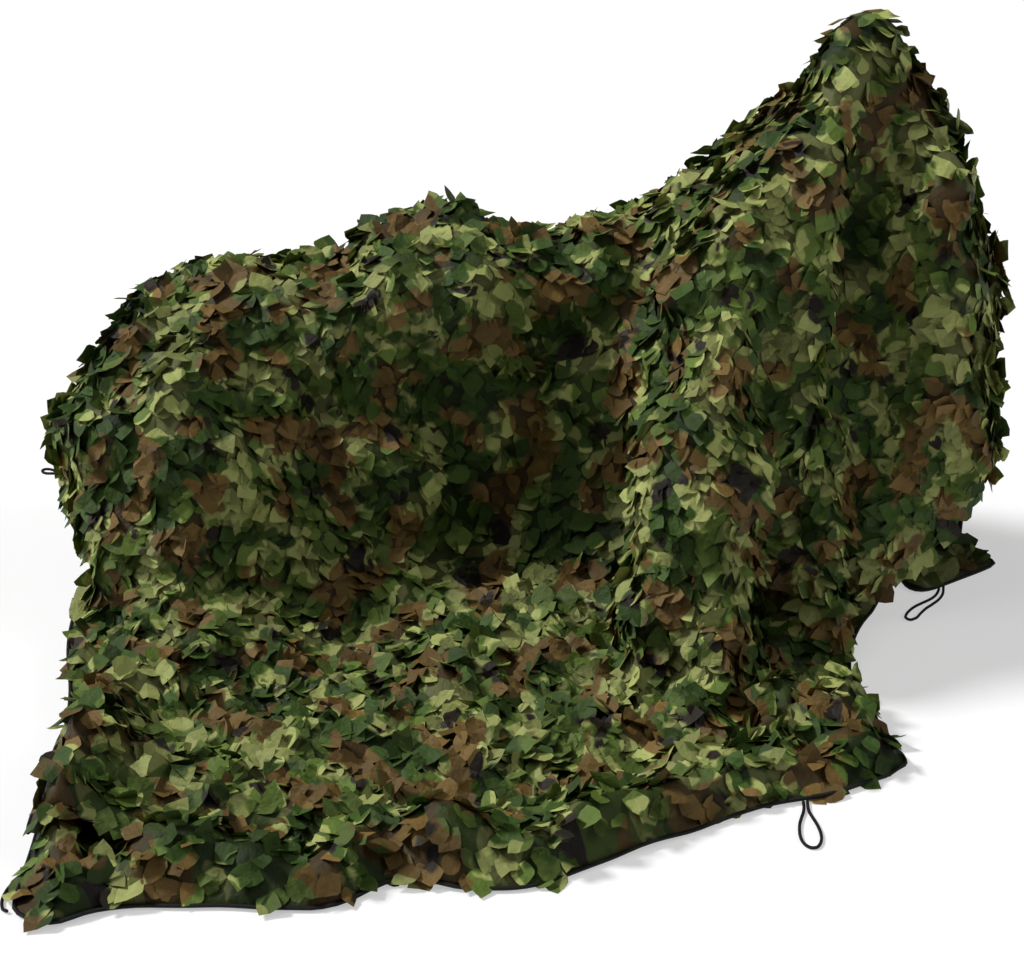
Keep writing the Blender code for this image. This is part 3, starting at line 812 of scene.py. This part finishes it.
def moved(tree, geometry, **where):
    """The geometry with its points at a Position, or moved by an Offset."""
    return node(tree, "GeometryNodeSetPosition", {"Geometry": geometry, **where}).outputs[0]


def sample_flat(tree, mesh, value, place, kind):
    """Reads a field of the surface at a flat place: its value, and whether the cloth is there."""
    inputs = {"Mesh": mesh, "Value": value, 2: kept(tree, "flat", VECTOR), "Sample UV": place}
    sample = node(tree, "GeometryNodeSampleUVSurface", inputs, data_type=kind)
    return sample.outputs["Value"], sample.outputs["Is Valid"]


print("kinds of random value:", list(RANDOM_SOCKETS))

# %% [markdown]
# A cutter stamps in rows, and each row is shifted by half a pitch against the last, as bricks are.
# A plain grid of points would show as stripes, so every second row is shifted here too, and each
# place is moved a little by chance.

# %% Lattice on the flat cloth
JITTER = 0.30  # how far a place may move, as a share of the pitch


def lattice(tree, given):
    """The points of the lattice, and whether each lies in an odd row."""
    width = maths(tree, "MULTIPLY", given["Pitch"], given["Columns"])
    height = maths(tree, "MULTIPLY", given["Row step"], given["Rows"])
    counts = {"Vertices X": given["Columns"], "Vertices Y": given["Rows"]}
    grid = node(tree, "GeometryNodeMeshGrid", {"Size X": width, "Size Y": height, **counts})
    row = maths(tree, "DIVIDE", parts(tree, position(tree))[1], given["Row step"])
    odd = maths(tree, "MODULO", maths(tree, "ABSOLUTE", maths(tree, "ROUND", row)), 2.0)
    shift = maths(tree, "MULTIPLY", maths(tree, "MULTIPLY", odd, 0.5), given["Pitch"])
    loose = random_value(
        tree, (-JITTER, -JITTER, 0), (JITTER, JITTER, 0), given["Seed"], 1, VECTOR
    )
    loose = scaled(tree, loose, given["Pitch"])
    offset = vector_maths(tree, "ADD", joined(tree, shift), loose)
    return moved(tree, grid.outputs["Mesh"], Offset=offset), odd


points, odd_row = lattice(LEAVES_TREE, given)
print("with the lattice the tree has", len(LEAVES_TREE.nodes), "nodes")

# %% [markdown]
# A slit's direction alternates from row to row. One fixed direction would leave all leaves alike,
# so each also turns a little by chance. On a wall they hang, as the step after this one sees to.
# Where the cloth lies level nothing pulls them down, so there most of them point the other way.

# %% Which way each leaf points
TURN_SPREAD = 0.5  # radians either way
LEVEL_FROM, LEVEL_TO = 0.70, 0.95  # upward part of the normal over which the cloth counts as level
LEVEL_TURNED = 0.85  # share of the leaves there that point the other way


def aim(tree, given, points, odd):
    """Keeps each point's place and angle on the flat cloth, and the drape's normal there."""
    points = keep(tree, points, "place", position(tree), VECTOR)
    place = kept(tree, "place", VECTOR)
    normal_field = node(tree, "GeometryNodeInputNormal").outputs[0]
    normal, _ = sample_flat(tree, given["Surface"], normal_field, place, VECTOR)
    points = keep(tree, points, "out", normal, VECTOR)
    rise = parts(tree, kept(tree, "out", VECTOR))[2]
    points = keep(tree, points, "level", remapped(tree, rise, LEVEL_FROM, LEVEL_TO))
    chance = maths(tree, "MULTIPLY", kept(tree, "level"), LEVEL_TURNED)
    drawn = random_value(tree, 0.0, 1.0, given["Seed"], 8)
    turned_round = maths(tree, "LESS_THAN", drawn, chance)
    side = maths(tree, "MULTIPLY_ADD", odd, math.pi / 2, -3 * math.pi / 4)
    side = maths(tree, "MULTIPLY_ADD", turned_round, math.pi, side)
    spread = random_value(tree, -TURN_SPREAD, TURN_SPREAD, given["Seed"], 2)
    return keep(tree, points, "turn", maths(tree, "ADD", side, spread))


points = aim(LEAVES_TREE, given, points, odd_row)
print("with the directions it has", len(LEAVES_TREE.nodes))

# %% [markdown]
# The flat place and the one just ahead of it are both looked up on the drape, and the line between
# them is the way along the cloth. At the edge there may be no cloth ahead, and then the place
# behind serves. A pull straight down makes the leaves of a wall hang. The surface's own axes could
# give the direction too, but they turn from face to face.

# %% Where each leaf starts on the drape
STEP_ALONG = 0.012  # how far ahead on the flat cloth the direction is read


def find_on_drape(tree, given, points):
    """Keeps each leaf's foot and direction on the drape, and tells where there is cloth."""
    cloth, here = given["Surface"], position(tree)
    place, turn = kept(tree, "place", VECTOR), kept(tree, "turn")
    ahead = joined(tree, maths(tree, "COSINE", turn), maths(tree, "SINE", turn))
    small = scaled(tree, ahead, STEP_ALONG)
    next_place = vector_maths(tree, "ADD", place, small)
    last_place = vector_maths(tree, "SUBTRACT", place, small)
    foot, on_cloth = sample_flat(tree, cloth, here, place, VECTOR)
    front, front_on = sample_flat(tree, cloth, here, next_place, VECTOR)
    behind, behind_on = sample_flat(tree, cloth, here, last_place, VECTOR)
    ways = {
        "Switch": front_on,
        "True": vector_maths(tree, "SUBTRACT", front, foot),
        "False": vector_maths(tree, "SUBTRACT", foot, behind),
    }
    along = node(tree, "GeometryNodeSwitch", ways, input_type="VECTOR").outputs[0]
    hang = joined(tree, z=maths(tree, "MULTIPLY", given["Hang"], -1.0))
    along = vector_maths(tree, "ADD", vector_maths(tree, "NORMALIZE", along), hang)
    calm_here, _ = sample_flat(tree, cloth, kept(tree, "calm"), place, "FLOAT")
    points = keep(tree, points, "foot", foot, VECTOR)
    points = keep(tree, points, "along", along, VECTOR)
    points = keep(tree, points, "rest", calm_here)
    either = node(tree, "FunctionNodeBooleanMath", {0: front_on, 1: behind_on}, operation="OR")
    usable = node(
        tree, "FunctionNodeBooleanMath", {0: on_cloth, 1: either.outputs[0]}, operation="AND"
    )
    return points, usable.outputs[0]


points, usable = find_on_drape(LEAVES_TREE, given, points)
print("with the places on the drape it has", len(LEAVES_TREE.nodes))

# %% [markdown]
# A part of the net that is tucked in on the ground lies upside down. The real leaves can be seen
# from both sides of the cloth. Leaves on both sides everywhere would double their number for
# nothing, so only there do they change to the side that shows.

# %% Leaves on the other side of a tucked part
UNDER_BELOW, UNDER_HEIGHT = -0.4, 0.06  # it faces down by so much, and lies no higher


def turn_over(tree, given, points):
    """Turns the normal round where a low part faces down."""
    foot_height = parts(tree, kept(tree, "foot", VECTOR))[2]
    highest = maths(tree, "ADD", given["Floor"], UNDER_HEIGHT)
    low = maths(tree, "LESS_THAN", foot_height, highest)
    rise = parts(tree, kept(tree, "out", VECTOR))[2]
    under = maths(tree, "MULTIPLY", low, maths(tree, "LESS_THAN", rise, UNDER_BELOW))
    points = keep(tree, points, "under", under)
    flip = maths(tree, "MULTIPLY_ADD", kept(tree, "under"), -2.0, 1.0)
    turned = scaled(tree, kept(tree, "out", VECTOR), flip)
    return keep(tree, points, "out", turned, VECTOR)


points = turn_over(LEAVES_TREE, given, points)
print("with the tucked part it has", len(LEAVES_TREE.nodes))

# %% [markdown]
# The lattice is a rectangle, and the draped cloth laid flat is not quite one. The lattice
# could be cut to shape, but it is simpler to delete what isn't wanted: places off the cloth, those
# of other bands, those too close to the cord and those on bare cloth.

# %% Only the places that carry a leaf
EDGE_MARGIN = 0.012  # no leaf starts closer to the edge
BARE_ABOVE = 0.6  # how calm the cloth is where it has no cuts at all


def drop_spare(tree, given, points, usable):
    """Only places on the cloth, in this piece's band, clear of the edge and not bare."""
    place = kept(tree, "place", VECTOR)
    place_x = parts(tree, place)[0]
    past = maths(tree, "GREATER_THAN", place_x, given["Band start"])
    before = maths(tree, "LESS_THAN", place_x, given["Band end"])
    wanted = maths(tree, "MULTIPLY", maths(tree, "MULTIPLY", past, before), usable)
    edge_field = kept(tree, "from_edge")
    edge_here, _ = sample_flat(tree, given["Surface"], edge_field, place, "FLOAT")
    at_edge = maths(tree, "LESS_THAN", edge_here, EDGE_MARGIN)
    calm_here = maths(tree, "GREATER_THAN", kept(tree, "rest"), BARE_ABOVE)
    bare = maths(tree, "MAXIMUM", calm_here, at_edge)
    wanted = maths(tree, "MULTIPLY", wanted, maths(tree, "SUBTRACT", 1.0, bare))
    spare = {"Geometry": points, "Selection": maths(tree, "LESS_THAN", wanted, 0.5)}
    left = node(tree, "GeometryNodeDeleteGeometry", spare, domain="POINT", mode="ALL")
    return left.outputs[0]


points = drop_spare(LEAVES_TREE, given, points, usable)
print("with the spare places dropped it has", len(LEAVES_TREE.nodes))

# %% [markdown]
# Cloth that has been cut and packed keeps some leaves flat and throws others up. So each leaf gets
# a tilt, mostly small and seldom large, and a roll about its length. An even spread would make
# the net look like fur. Calm cloth takes most of both away. Each leaf also gets its own size, and a
# lightness that is partly its own tone and partly painted light and shade for the way it faces the
# light. On a tucked part the leaves get the darkest lightness, as painted shade.

# %% Size, lightness and tilt of each leaf
UNDER_LIFT = 0.002  # on the other side of a tucked part the leaves start this much higher
SIZE_LEAST, SIZE_MOST = 0.75, 1.25  # of the leaf length
TILT_POWER = 2.5  # the higher, the fewer leaves stand far out
CALM_LIES = 0.85  # share of its tilt and roll that a leaf loses on calm cloth
LEVEL_TILT = math.radians(5)  # how much more a leaf stands up on level cloth
ROLL_SPREAD = 0.28  # radians either way


def settle(tree, given, points):
    """Moves the points to the drape; keeps leaf size and a lightness of tone plus painted light and
    shade.
    """
    seed, under = given["Seed"], kept(tree, "under")
    lift = scaled(tree, kept(tree, "out", VECTOR), maths(tree, "MULTIPLY", under, UNDER_LIFT))
    start = vector_maths(tree, "ADD", kept(tree, "foot", VECTOR), lift)
    points = moved(tree, points, Position=start)
    size = random_value(tree, SIZE_LEAST, SIZE_MOST, seed, 3)
    points = keep(tree, points, "size", maths(tree, "MULTIPLY", given["Leaf length"], size))
    # Painted light and shade: a leaf's lightness is partly random tone and partly stands for how it
    # faces the light. On a tucked part it is the darkest, painted shade for the shadow of the
    # left-out wheel.
    shade = maths(tree, "SUBTRACT", random_value(tree, 0.0, 1.0, seed, 4), under)
    return keep(tree, points, "shade", maths(tree, "MAXIMUM", shade, 0.0))


def stance(tree, given):
    """How a leaf stands: Z out of the cloth, Y along it, then tilted and rolled."""
    seed = given["Seed"]
    lively = maths(tree, "MULTIPLY_ADD", kept(tree, "rest"), -CALM_LIES, 1.0)
    rare = maths(tree, "POWER", random_value(tree, 0.0, 1.0, seed, 5), TILT_POWER)
    tilt = maths(tree, "MULTIPLY_ADD", given["Tilt spread"], rare, given["Tilt"])
    tilt = maths(tree, "MULTIPLY_ADD", kept(tree, "level"), LEVEL_TILT, tilt)
    tilt = maths(tree, "MULTIPLY", tilt, lively)
    roll = random_value(tree, -ROLL_SPREAD, ROLL_SPREAD, seed, 6)
    roll = maths(tree, "MULTIPLY", roll, lively)
    lean = node(tree, "FunctionNodeEulerToRotation", {0: joined(tree, tilt, roll)})
    upright = node(
        tree,
        "FunctionNodeAxesToRotation",
        {0: kept(tree, "out", VECTOR), 1: kept(tree, "along", VECTOR)},
        primary_axis="Z",
        secondary_axis="Y",
    )
    both = {0: upright.outputs[0], 1: lean.outputs[0]}
    return node(tree, "FunctionNodeRotateRotation", both, rotation_space="LOCAL").outputs[0]


points = settle(LEAVES_TREE, given, points)
rotation = stance(LEAVES_TREE, given)
print("with the leaves' stance it has", len(LEAVES_TREE.nodes))

# %% [markdown]
# Now a leaf of one of the shapes goes on each point. Instances are light to work with, but the
# leaves are to be bent one by one and handed on as a mesh, so they are made real at once.


# %% A leaf on each place
def grow(tree, given, points, rotation):
    """Leaves on the points, as real mesh."""
    picked = {"Collection": given["Shapes"], "Separate Children": True, "Reset Children": True}
    last_shape = len(LEAF_SHAPES) - 1
    spots = {
        "Points": points,
        "Instance": node(tree, "GeometryNodeCollectionInfo", picked).outputs[0],
        "Pick Instance": True,
        "Instance Index": random_value(tree, 0, last_shape, given["Seed"], 7, "INT"),
        "Rotation": rotation,
        "Scale": kept(tree, "size"),
    }
    instances = node(tree, "GeometryNodeInstanceOnPoints", spots).outputs[0]
    return node(tree, "GeometryNodeRealizeInstances", {"Geometry": instances}).outputs[0]


real_leaves = grow(LEAVES_TREE, given, points, rotation)
print("with the leaves it has", len(LEAVES_TREE.nodes))

# %% [markdown]
# No two real leaves bend alike. More shapes would help a little, but a noise in space bends every
# leaf in its own way, more towards its tip. Each point is then held above the ground, and gets its
# place on the flat cloth, so that the print runs on from leaf to leaf.

# %% Bend the leaves and lay the print on them
WOBBLE_SCALE, WOBBLE_SIZE = 26.0, 0.006  # bends to a metre, and how far one moves a tip


def bend_leaves(tree, given, leaves):
    """Bends each leaf, more towards its tip, and never into the ground."""
    here = position(tree)
    inputs = {"Vector": here, "Scale": WOBBLE_SCALE, "Detail": 1.0}
    wobble = node(tree, "ShaderNodeTexNoise", inputs).outputs["Color"]
    wobble = vector_maths(tree, "SUBTRACT", wobble, (0.5, 0.5, 0.5))
    tipward = parts(tree, kept(tree, "petal", VECTOR))[1]
    bend = scaled(tree, wobble, maths(tree, "MULTIPLY", tipward, 2 * WOBBLE_SIZE))
    x, y, z = parts(tree, vector_maths(tree, "ADD", here, bend))
    above = joined(tree, x, y, maths(tree, "MAXIMUM", z, given["Floor"]))
    return moved(tree, leaves, Position=above)


def dress_leaves(tree, given, leaves):
    """Gives every point of a leaf its flat place, and the leaf its cloth."""
    angle = maths(tree, "SUBTRACT", kept(tree, "turn"), math.pi / 2)
    inputs = {"Vector": kept(tree, "petal", VECTOR), "Angle": angle}
    reach = node(tree, "ShaderNodeVectorRotate", inputs, rotation_type="Z_AXIS").outputs[0]
    reach = scaled(tree, reach, kept(tree, "size"))
    flat_place = vector_maths(tree, "ADD", kept(tree, "place", VECTOR), reach)
    mapped = keep(tree, leaves, "flat", flat_place, "FLOAT2", "CORNER")
    dressed = {"Geometry": mapped, "Material": given["Cloth"]}
    return node(tree, "GeometryNodeSetMaterial", dressed).outputs[0]


bent_leaves = bend_leaves(LEAVES_TREE, given, real_leaves)
dressed_leaves = dress_leaves(LEAVES_TREE, given, bent_leaves)
node(LEAVES_TREE, "NodeGroupOutput", {0: dressed_leaves})
print("the whole leaves tree has", len(LEAVES_TREE.nodes), "nodes")

# %% [markdown]
# The real leaves are one with their cloth. Here they could be one piece too, but it would be too
# heavy to hand on, so the net is covered band by band from the rear to the front, each band a piece
# of its own. A modifier's input is set by its socket's identifier, and what was kept on the points
# only for the making is removed at the end.

# %% Leaves, band by band
PITCH_LEAF = 0.030
ROW_STEP = 0.026
SPARE_ROWS = 6  # the lattice's middle lies a little beside the middle of the cloth
LEAF_LENGTH = 0.042
LEAF_TILT, LEAF_TILT_SPREAD = math.radians(6), math.radians(36)
LEAF_HANG = 0.35
LEAF_LOWEST = FLOOR + 0.0008
LEAF_SEED = 5
BANDS = ("rear", "tail", "middle", "grip", "front")
BAND_SPARE = 0.1  # how far the first and the last band reach past the cloth
# what was kept on the points only for the making
SPARE = ("place", "turn", "foot", "along", "out", "rest", "under", "level", "size", "petal")


def leaf_band(name, start, end, seed):
    """The leaves of one band of the flat cloth, as a plain mesh."""
    made = new_object(f"leaves_{name}", surface_mesh.copy())
    settings = {
        "Pitch": PITCH_LEAF,
        "Row step": ROW_STEP,
        "Columns": math.ceil(flat_size[0] / PITCH_LEAF) + SPARE_ROWS,
        "Rows": math.ceil(flat_size[1] / ROW_STEP) + SPARE_ROWS,
        "Leaf length": LEAF_LENGTH,
        "Tilt": LEAF_TILT,
        "Tilt spread": LEAF_TILT_SPREAD,
        "Hang": LEAF_HANG,
        "Band start": start,
        "Band end": end,
        "Floor": LEAF_LOWEST,
        "Seed": seed,
        "Shapes": leaf_shapes,
        "Cloth": LEAF_CLOTH,
    }
    scatter = made.modifiers.new("leaves", "NODES")
    scatter.node_group = LEAVES_TREE
    for socket in LEAVES_TREE.interface.items_tree:
        if socket.name in settings:
            scatter[socket.identifier] = settings[socket.name]
    mesh = finish_modifiers(made)
    for spare in SPARE:
        if spare in mesh.attributes:
            mesh.attributes.remove(mesh.attributes[spare])
    return made


reach = flat_size[0] / 2 + BAND_SPARE
limits = np.linspace(-reach, reach, len(BANDS) + 1)
leaves = [leaf_band(name, limits[i], limits[i + 1], LEAF_SEED) for i, name in enumerate(BANDS)]
for band in leaves:
    print(band.name, len(band.data.polygons), "faces", [m.name for m in band.data.materials])

# %% [markdown]
# ## The cords
#
# A braided black cord is sewn round the edge of the net, and loops of thinner cord hang from it for
# tying the net down. The strands could be modelled one by one, as on a thick rope, but these cords
# are only a few millimetres across. So a cord is a round tube that follows a line, and two sets of
# waves that wind round it in opposite ways stand for the braid.

# %% Cord material
CORD_ROUGHNESS = 0.55
# Painted shade: the braid is darker between its strands than on their crowns.
CORD_GROOVE_SHADE, CORD_CROWN = (0.002, 0.002, 0.002, 1), (0.010, 0.010, 0.010, 1)  # between and on strands
BRAID_LAY = 0.012  # length of cord in which a strand goes once round
BRAID_HEIGHT, BRAID_STRENGTH = 0.0006, 0.8
STRANDS = 8


def cord_material():
    """Black braid on a map whose X runs along the cord in metres and whose Y is turns round it."""
    made, tree, shader = new_material("braided cord")
    run, turns, _ = parts(tree, node(tree, "ShaderNodeUVMap", uv_map="cord").outputs[0])
    along = maths(tree, "MULTIPLY", run, math.pi * STRANDS / BRAID_LAY)
    round_it = maths(tree, "MULTIPLY", turns, math.pi * STRANDS)
    one = maths(tree, "SINE", maths(tree, "ADD", along, round_it))
    other = maths(tree, "SINE", maths(tree, "SUBTRACT", along, round_it))
    height = maths(tree, "MAXIMUM", one, other)
    tree.links.new(bumped(tree, height, BRAID_HEIGHT, BRAID_STRENGTH), shader.inputs["Normal"])
    # painted shade in the grooves between the strands
    crown_share = remapped(tree, height, -1.0, 1.0)
    tree.links.new(mixed(tree, crown_share, CORD_GROOVE_SHADE, CORD_CROWN), shader.inputs["Base Color"])
    shader.inputs["Roughness"].default_value = CORD_ROUGHNESS
    shader.inputs["Specular IOR Level"].default_value = DULL_SHINE
    return made


CORD = cord_material()
print("material:", CORD.name)

# %% [markdown]
# A curve with a bevel makes a tube at once, but its map wouldn't be in metres, and the braid would
# stretch. So the tube is built ring by ring. Each ring takes over the last one's upward direction,
# turned only as far as the line turns, so that the tube doesn't twist.

# %% A round tube along a line
CORD_SIDES = 10
STEEP = 0.9  # a line that runs along Y by more than this starts from another direction


def tube(name, path, radius, sides, closed=False):
    """A round tube along a path, its map in metres along and turns round."""
    path = np.array(path)
    ahead = np.roll(path, -1, axis=0) - np.roll(path, 1, axis=0)
    if not closed:
        ahead[0], ahead[-1] = path[1] - path[0], path[-1] - path[-2]
    ahead /= np.linalg.norm(ahead, axis=1, keepdims=True)
    up = np.zeros_like(path)
    up[0] = np.cross(ahead[0], (0, 1, 0) if abs(ahead[0][1]) < STEEP else (1, 0, 0))
    for i in range(len(path)):
        if i:
            up[i] = up[i - 1]
        up[i] -= ahead[i] * (up[i] @ ahead[i])
        up[i] /= np.linalg.norm(up[i])
    side = np.cross(ahead, up)
    angles = 2 * np.pi * np.arange(sides) / sides
    cosines, sines = np.cos(angles)[None, :, None], np.sin(angles)[None, :, None]
    rings = path[:, None] + radius * (cosines * up[:, None] + sines * side[:, None])
    lengths = np.linalg.norm(np.roll(path, -1, axis=0) - path, axis=1)
    runs = np.concatenate([[0], np.cumsum(lengths)])
    made = bmesh.new()
    cord_map = made.loops.layers.uv.new("cord")
    verts = [[made.verts.new(p) for p in ring_points] for ring_points in rings]
    count = len(path)
    for i in range(count if closed else count - 1):
        for k in range(sides):
            n, m = (i + 1) % count, (k + 1) % sides
            face = made.faces.new((verts[i][k], verts[n][k], verts[n][m], verts[i][m]))
            spots = ((runs[i], k), (runs[i + 1], k), (runs[i + 1], k + 1), (runs[i], k + 1))
            for loop, (run, around) in zip(face.loops, spots):
                loop[cord_map].uv = (run, around / sides)
    if not closed:
        made.faces.new(verts[0])
        made.faces.new(verts[-1][::-1])
    bmesh.ops.recalc_face_normals(made, faces=made.faces)
    mesh = bpy.data.meshes.new(name)
    made.to_mesh(mesh)
    made.free()
    mesh.shade_smooth()
    mesh.materials.append(CORD)
    return new_object(name, mesh)


print("a cord's tube has", CORD_SIDES, "sides")

# %% [markdown]
# The edge cord is one closed round along the line that was worked out with the hem. Stitches hold
# it on the real net. They could follow the same line, but the leaves hide them, so none are made.

# %% Edge cord
edge_cord = tube("edge_cord_braid", edge_line, EDGE_CORD_R, CORD_SIDES, closed=True)
print("edge cord:", len(edge_cord.data.polygons), "faces")

# %% [markdown]
# Four loops of thinner cord show at the edge. Each lies loose on the ground or hangs from the edge,
# and no rule gives its way. A simulation would give some way, but not this one. So the route is a
# list of given places, measured from a point on the ground a little in front of the saddle, and a
# smooth curve runs through them.

# %% Tie loops
LOOP_R = 0.0032
LOOP_STEP = 0.003  # between two rings of the tube
SADDLE = (-0.19, 0.0, 0.869)  # the frame's origin, measured from that point
LOOP_ROUTES = {
    "tie_loop_near_hem": (
        (0.5596, -1.0783, 0.0050), (0.5581, -1.0988, 0.0038), (0.5548, -1.1153, 0.0036),
        (0.5493, -1.1336, 0.0036), (0.5433, -1.1553, 0.0036), (0.5397, -1.1786, 0.0036),
        (0.5385, -1.1999, 0.0036), (0.5404, -1.2192, 0.0036), (0.5460, -1.2335, 0.0036),
        (0.5545, -1.2408, 0.0036), (0.5636, -1.2397, 0.0036), (0.5714, -1.2289, 0.0036),
        (0.5765, -1.2122, 0.0036), (0.5782, -1.1928, 0.0036), (0.5770, -1.1715, 0.0036),
        (0.5737, -1.1499, 0.0036), (0.5695, -1.1300, 0.0036), (0.5665, -1.1135, 0.0036),
        (0.5662, -1.0970, 0.0038), (0.5677, -1.0759, 0.0049),
    ),
    "tie_loop_front_corner": (
        (1.0011, -0.1056, 0.0039), (0.9952, -0.1229, 0.0036), (0.9850, -0.1440, 0.0036),
        (0.9690, -0.1640, 0.0036), (0.9495, -0.1815, 0.0036), (0.9298, -0.2000, 0.0036),
        (0.9125, -0.2221, 0.0036), (0.9005, -0.2450, 0.0036), (0.8968, -0.2620, 0.0036),
        (0.9040, -0.2715, 0.0036), (0.9180, -0.2640, 0.0036), (0.9335, -0.2400, 0.0036),
        (0.9510, -0.2130, 0.0036), (0.9710, -0.1890, 0.0036), (0.9905, -0.1630, 0.0036),
        (1.0045, -0.1340, 0.0036), (1.0133, -0.0962, 0.0044),
    ),
    "tie_loop_near_corner": (
        (-0.8885, -1.3520, 0.0045), (-0.8950, -1.3590, 0.0036), (-0.8998, -1.3690, 0.0036),
        (-0.9030, -1.3810, 0.0036), (-0.9046, -1.3940, 0.0036), (-0.9050, -1.4070, 0.0036),
        (-0.9040, -1.4200, 0.0036), (-0.9012, -1.4325, 0.0036), (-0.8970, -1.4435, 0.0036),
        (-0.8873, -1.4529, 0.0058),
    ),
    "tie_loop_rear_edge": (
        (-1.0478, -0.0368, 0.2661), (-1.0580, -0.0385, 0.2680), (-1.0655, -0.0415, 0.2695),
        (-1.0730, -0.0455, 0.2710), (-1.0810, -0.0475, 0.2720), (-1.0885, -0.0447, 0.2730),
        (-1.0927, -0.0380, 0.2735), (-1.0927, -0.0305, 0.2735), (-1.0885, -0.0238, 0.2730),
        (-1.0810, -0.0210, 0.2720), (-1.0730, -0.0225, 0.2710), (-1.0655, -0.0263, 0.2695),
        (-1.0590, -0.0290, 0.2685), (-1.0498, -0.0285, 0.2678),
    ),
}


def curve_through(route):
    """Evenly spaced points on a smooth curve through a route."""
    points = np.array(route) - np.array(SADDLE)
    knots = np.concatenate([[0], np.cumsum(np.linalg.norm(np.diff(points, axis=0), axis=1))])
    at = np.linspace(0, knots[-1], round(knots[-1] / LOOP_STEP) + 1)
    slopes = np.gradient(points, knots, axis=0)
    step = np.diff(knots)
    i = np.clip(np.searchsorted(knots, at, side="right") - 1, 0, len(step) - 1)
    t = ((at - knots[i]) / step[i])[:, None]
    step = step[i][:, None]
    return (
        points[i] * (1 + 2 * t) * (1 - t) ** 2
        + slopes[i] * step * t * (1 - t) ** 2
        + points[i + 1] * t * t * (3 - 2 * t)
        + slopes[i + 1] * step * t * t * (t - 1)
    )


loops = []
for name, route in LOOP_ROUTES.items():
    line = curve_through(route)
    loops.append((tube(name + "_cord", line, LOOP_R, CORD_SIDES), line, name))
    print(name, "has", len(line), "rings")

# %% [markdown]
# ## Floor and light
#
# The net is shown on a pale ground in a light tent, whose white walls are bright all round. Lamps
# close by would light so large a thing unevenly, so three soft suns do it. The ground takes their
# soft shadow. It could be lit brighter than the net by lamps of its own, but a glow of its own is
# simpler and casts no more shadows.

# %% Floor
FLOOR_DROP = 0.0005  # how far the floor lies below the net
FLOOR_HALF = 300.0  # half its width, so that no end shows
FLOOR_COLOUR, FLOOR_GLOW, FLOOR_ROUGHNESS = 0.55, 0.45, 0.8
WHITE = (1, 1, 1, 1)


def pale_floor():
    """A wide flat floor that glows a little."""
    mesh = bpy.data.meshes.new("floor")
    corners = ((-1, -1), (1, -1), (1, 1), (-1, 1))
    places = [(x * FLOOR_HALF, y * FLOOR_HALF, FLOOR - FLOOR_DROP) for x, y in corners]
    mesh.from_pydata(places, [], [(0, 1, 2, 3)])
    material, _, shader = new_material("pale floor")
    shader.inputs["Base Color"].default_value = (FLOOR_COLOUR, FLOOR_COLOUR, FLOOR_COLOUR, 1)
    shader.inputs["Emission Color"].default_value = WHITE
    shader.inputs["Emission Strength"].default_value = FLOOR_GLOW
    shader.inputs["Roughness"].default_value = FLOOR_ROUGHNESS
    mesh.materials.append(material)
    return new_object("floor", mesh)


floor = pale_floor()
print("floor at", round(FLOOR - FLOOR_DROP, 4))

# %% [markdown]
# A sun in Blender is a light from far away. Its angle is how wide it looks in the sky, and a wide
# one casts soft shadows. A strong one comes from the left, a weak one from the front left and
# another from the right. White surroundings alone would light the net flatly from everywhere. So
# they are white only for rays that come from the camera, and give the net a small share of that.

# %% Lights and surroundings
SKY_LIGHT = 0.08  # that share
LIGHT_COLUMNS = ("name", "azimuth", "elevation", "width", "strength")  # three of them in degrees
LIGHTS = (
    ("key", 262, 47, 12, 3.3),
    ("front", 312, 58, 30, 0.35),
    ("right", 75, 40, 40, 0.6),
)


def far_light(name, azimuth, elevation, width, strength):
    """A soft far light; azimuth 0 comes from the camera's side and 90 from the right."""
    data = bpy.data.lights.new(name, "SUN")
    data.angle = math.radians(width)
    data.energy = strength
    turn, rise = math.radians(azimuth), math.radians(elevation)
    level = math.cos(rise)
    source = Vector((math.sin(turn) * level, -math.cos(turn) * level, math.sin(rise)))
    new_object(name, data).rotation_euler = (-source).to_track_quat("-Z", "Y").to_euler()


def surroundings():
    """White where the camera sees them, and dim for the net."""
    world = bpy.data.worlds.new("surroundings")
    world.use_nodes = True
    tree = world.node_tree
    seen = node(tree, "ShaderNodeLightPath").outputs["Is Camera Ray"]
    strength = maths(tree, "MULTIPLY_ADD", seen, 1.0 - SKY_LIGHT, SKY_LIGHT)
    tree.nodes["Background"].inputs["Color"].default_value = WHITE
    tree.links.new(strength, tree.nodes["Background"].inputs["Strength"])
    return world


for row in LIGHTS:
    far_light(**dict(zip(LIGHT_COLUMNS, row)))
bpy.context.scene.world = surroundings()
bpy.context.scene.view_settings.view_transform = "Standard"
print("lights:", [row[0] for row in LIGHTS])

# %% [markdown]
# ## The pieces on their body
#
# Every piece rides on the one body, because a net has no moving parts. The backing stands for the
# frame's sheet, the braided cord for its edge cord and each loop for its own solid. The sheet is
# about three metres square when it is laid flat. The surface and the leaf shapes only served the
# making, so they go first.

# %% Ride and finish
bpy.data.objects.remove(surface)
for shape in list(leaf_shapes.objects):
    bpy.data.objects.remove(shape)
bpy.data.collections.remove(leaf_shapes)

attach(backing, "root")
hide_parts("camouflage_sheet")
for band in leaves:
    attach(band, "root")
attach(edge_cord, "root")
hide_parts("edge_cord")
for piece, line, name in loops:
    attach(piece, "root")
    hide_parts(name)
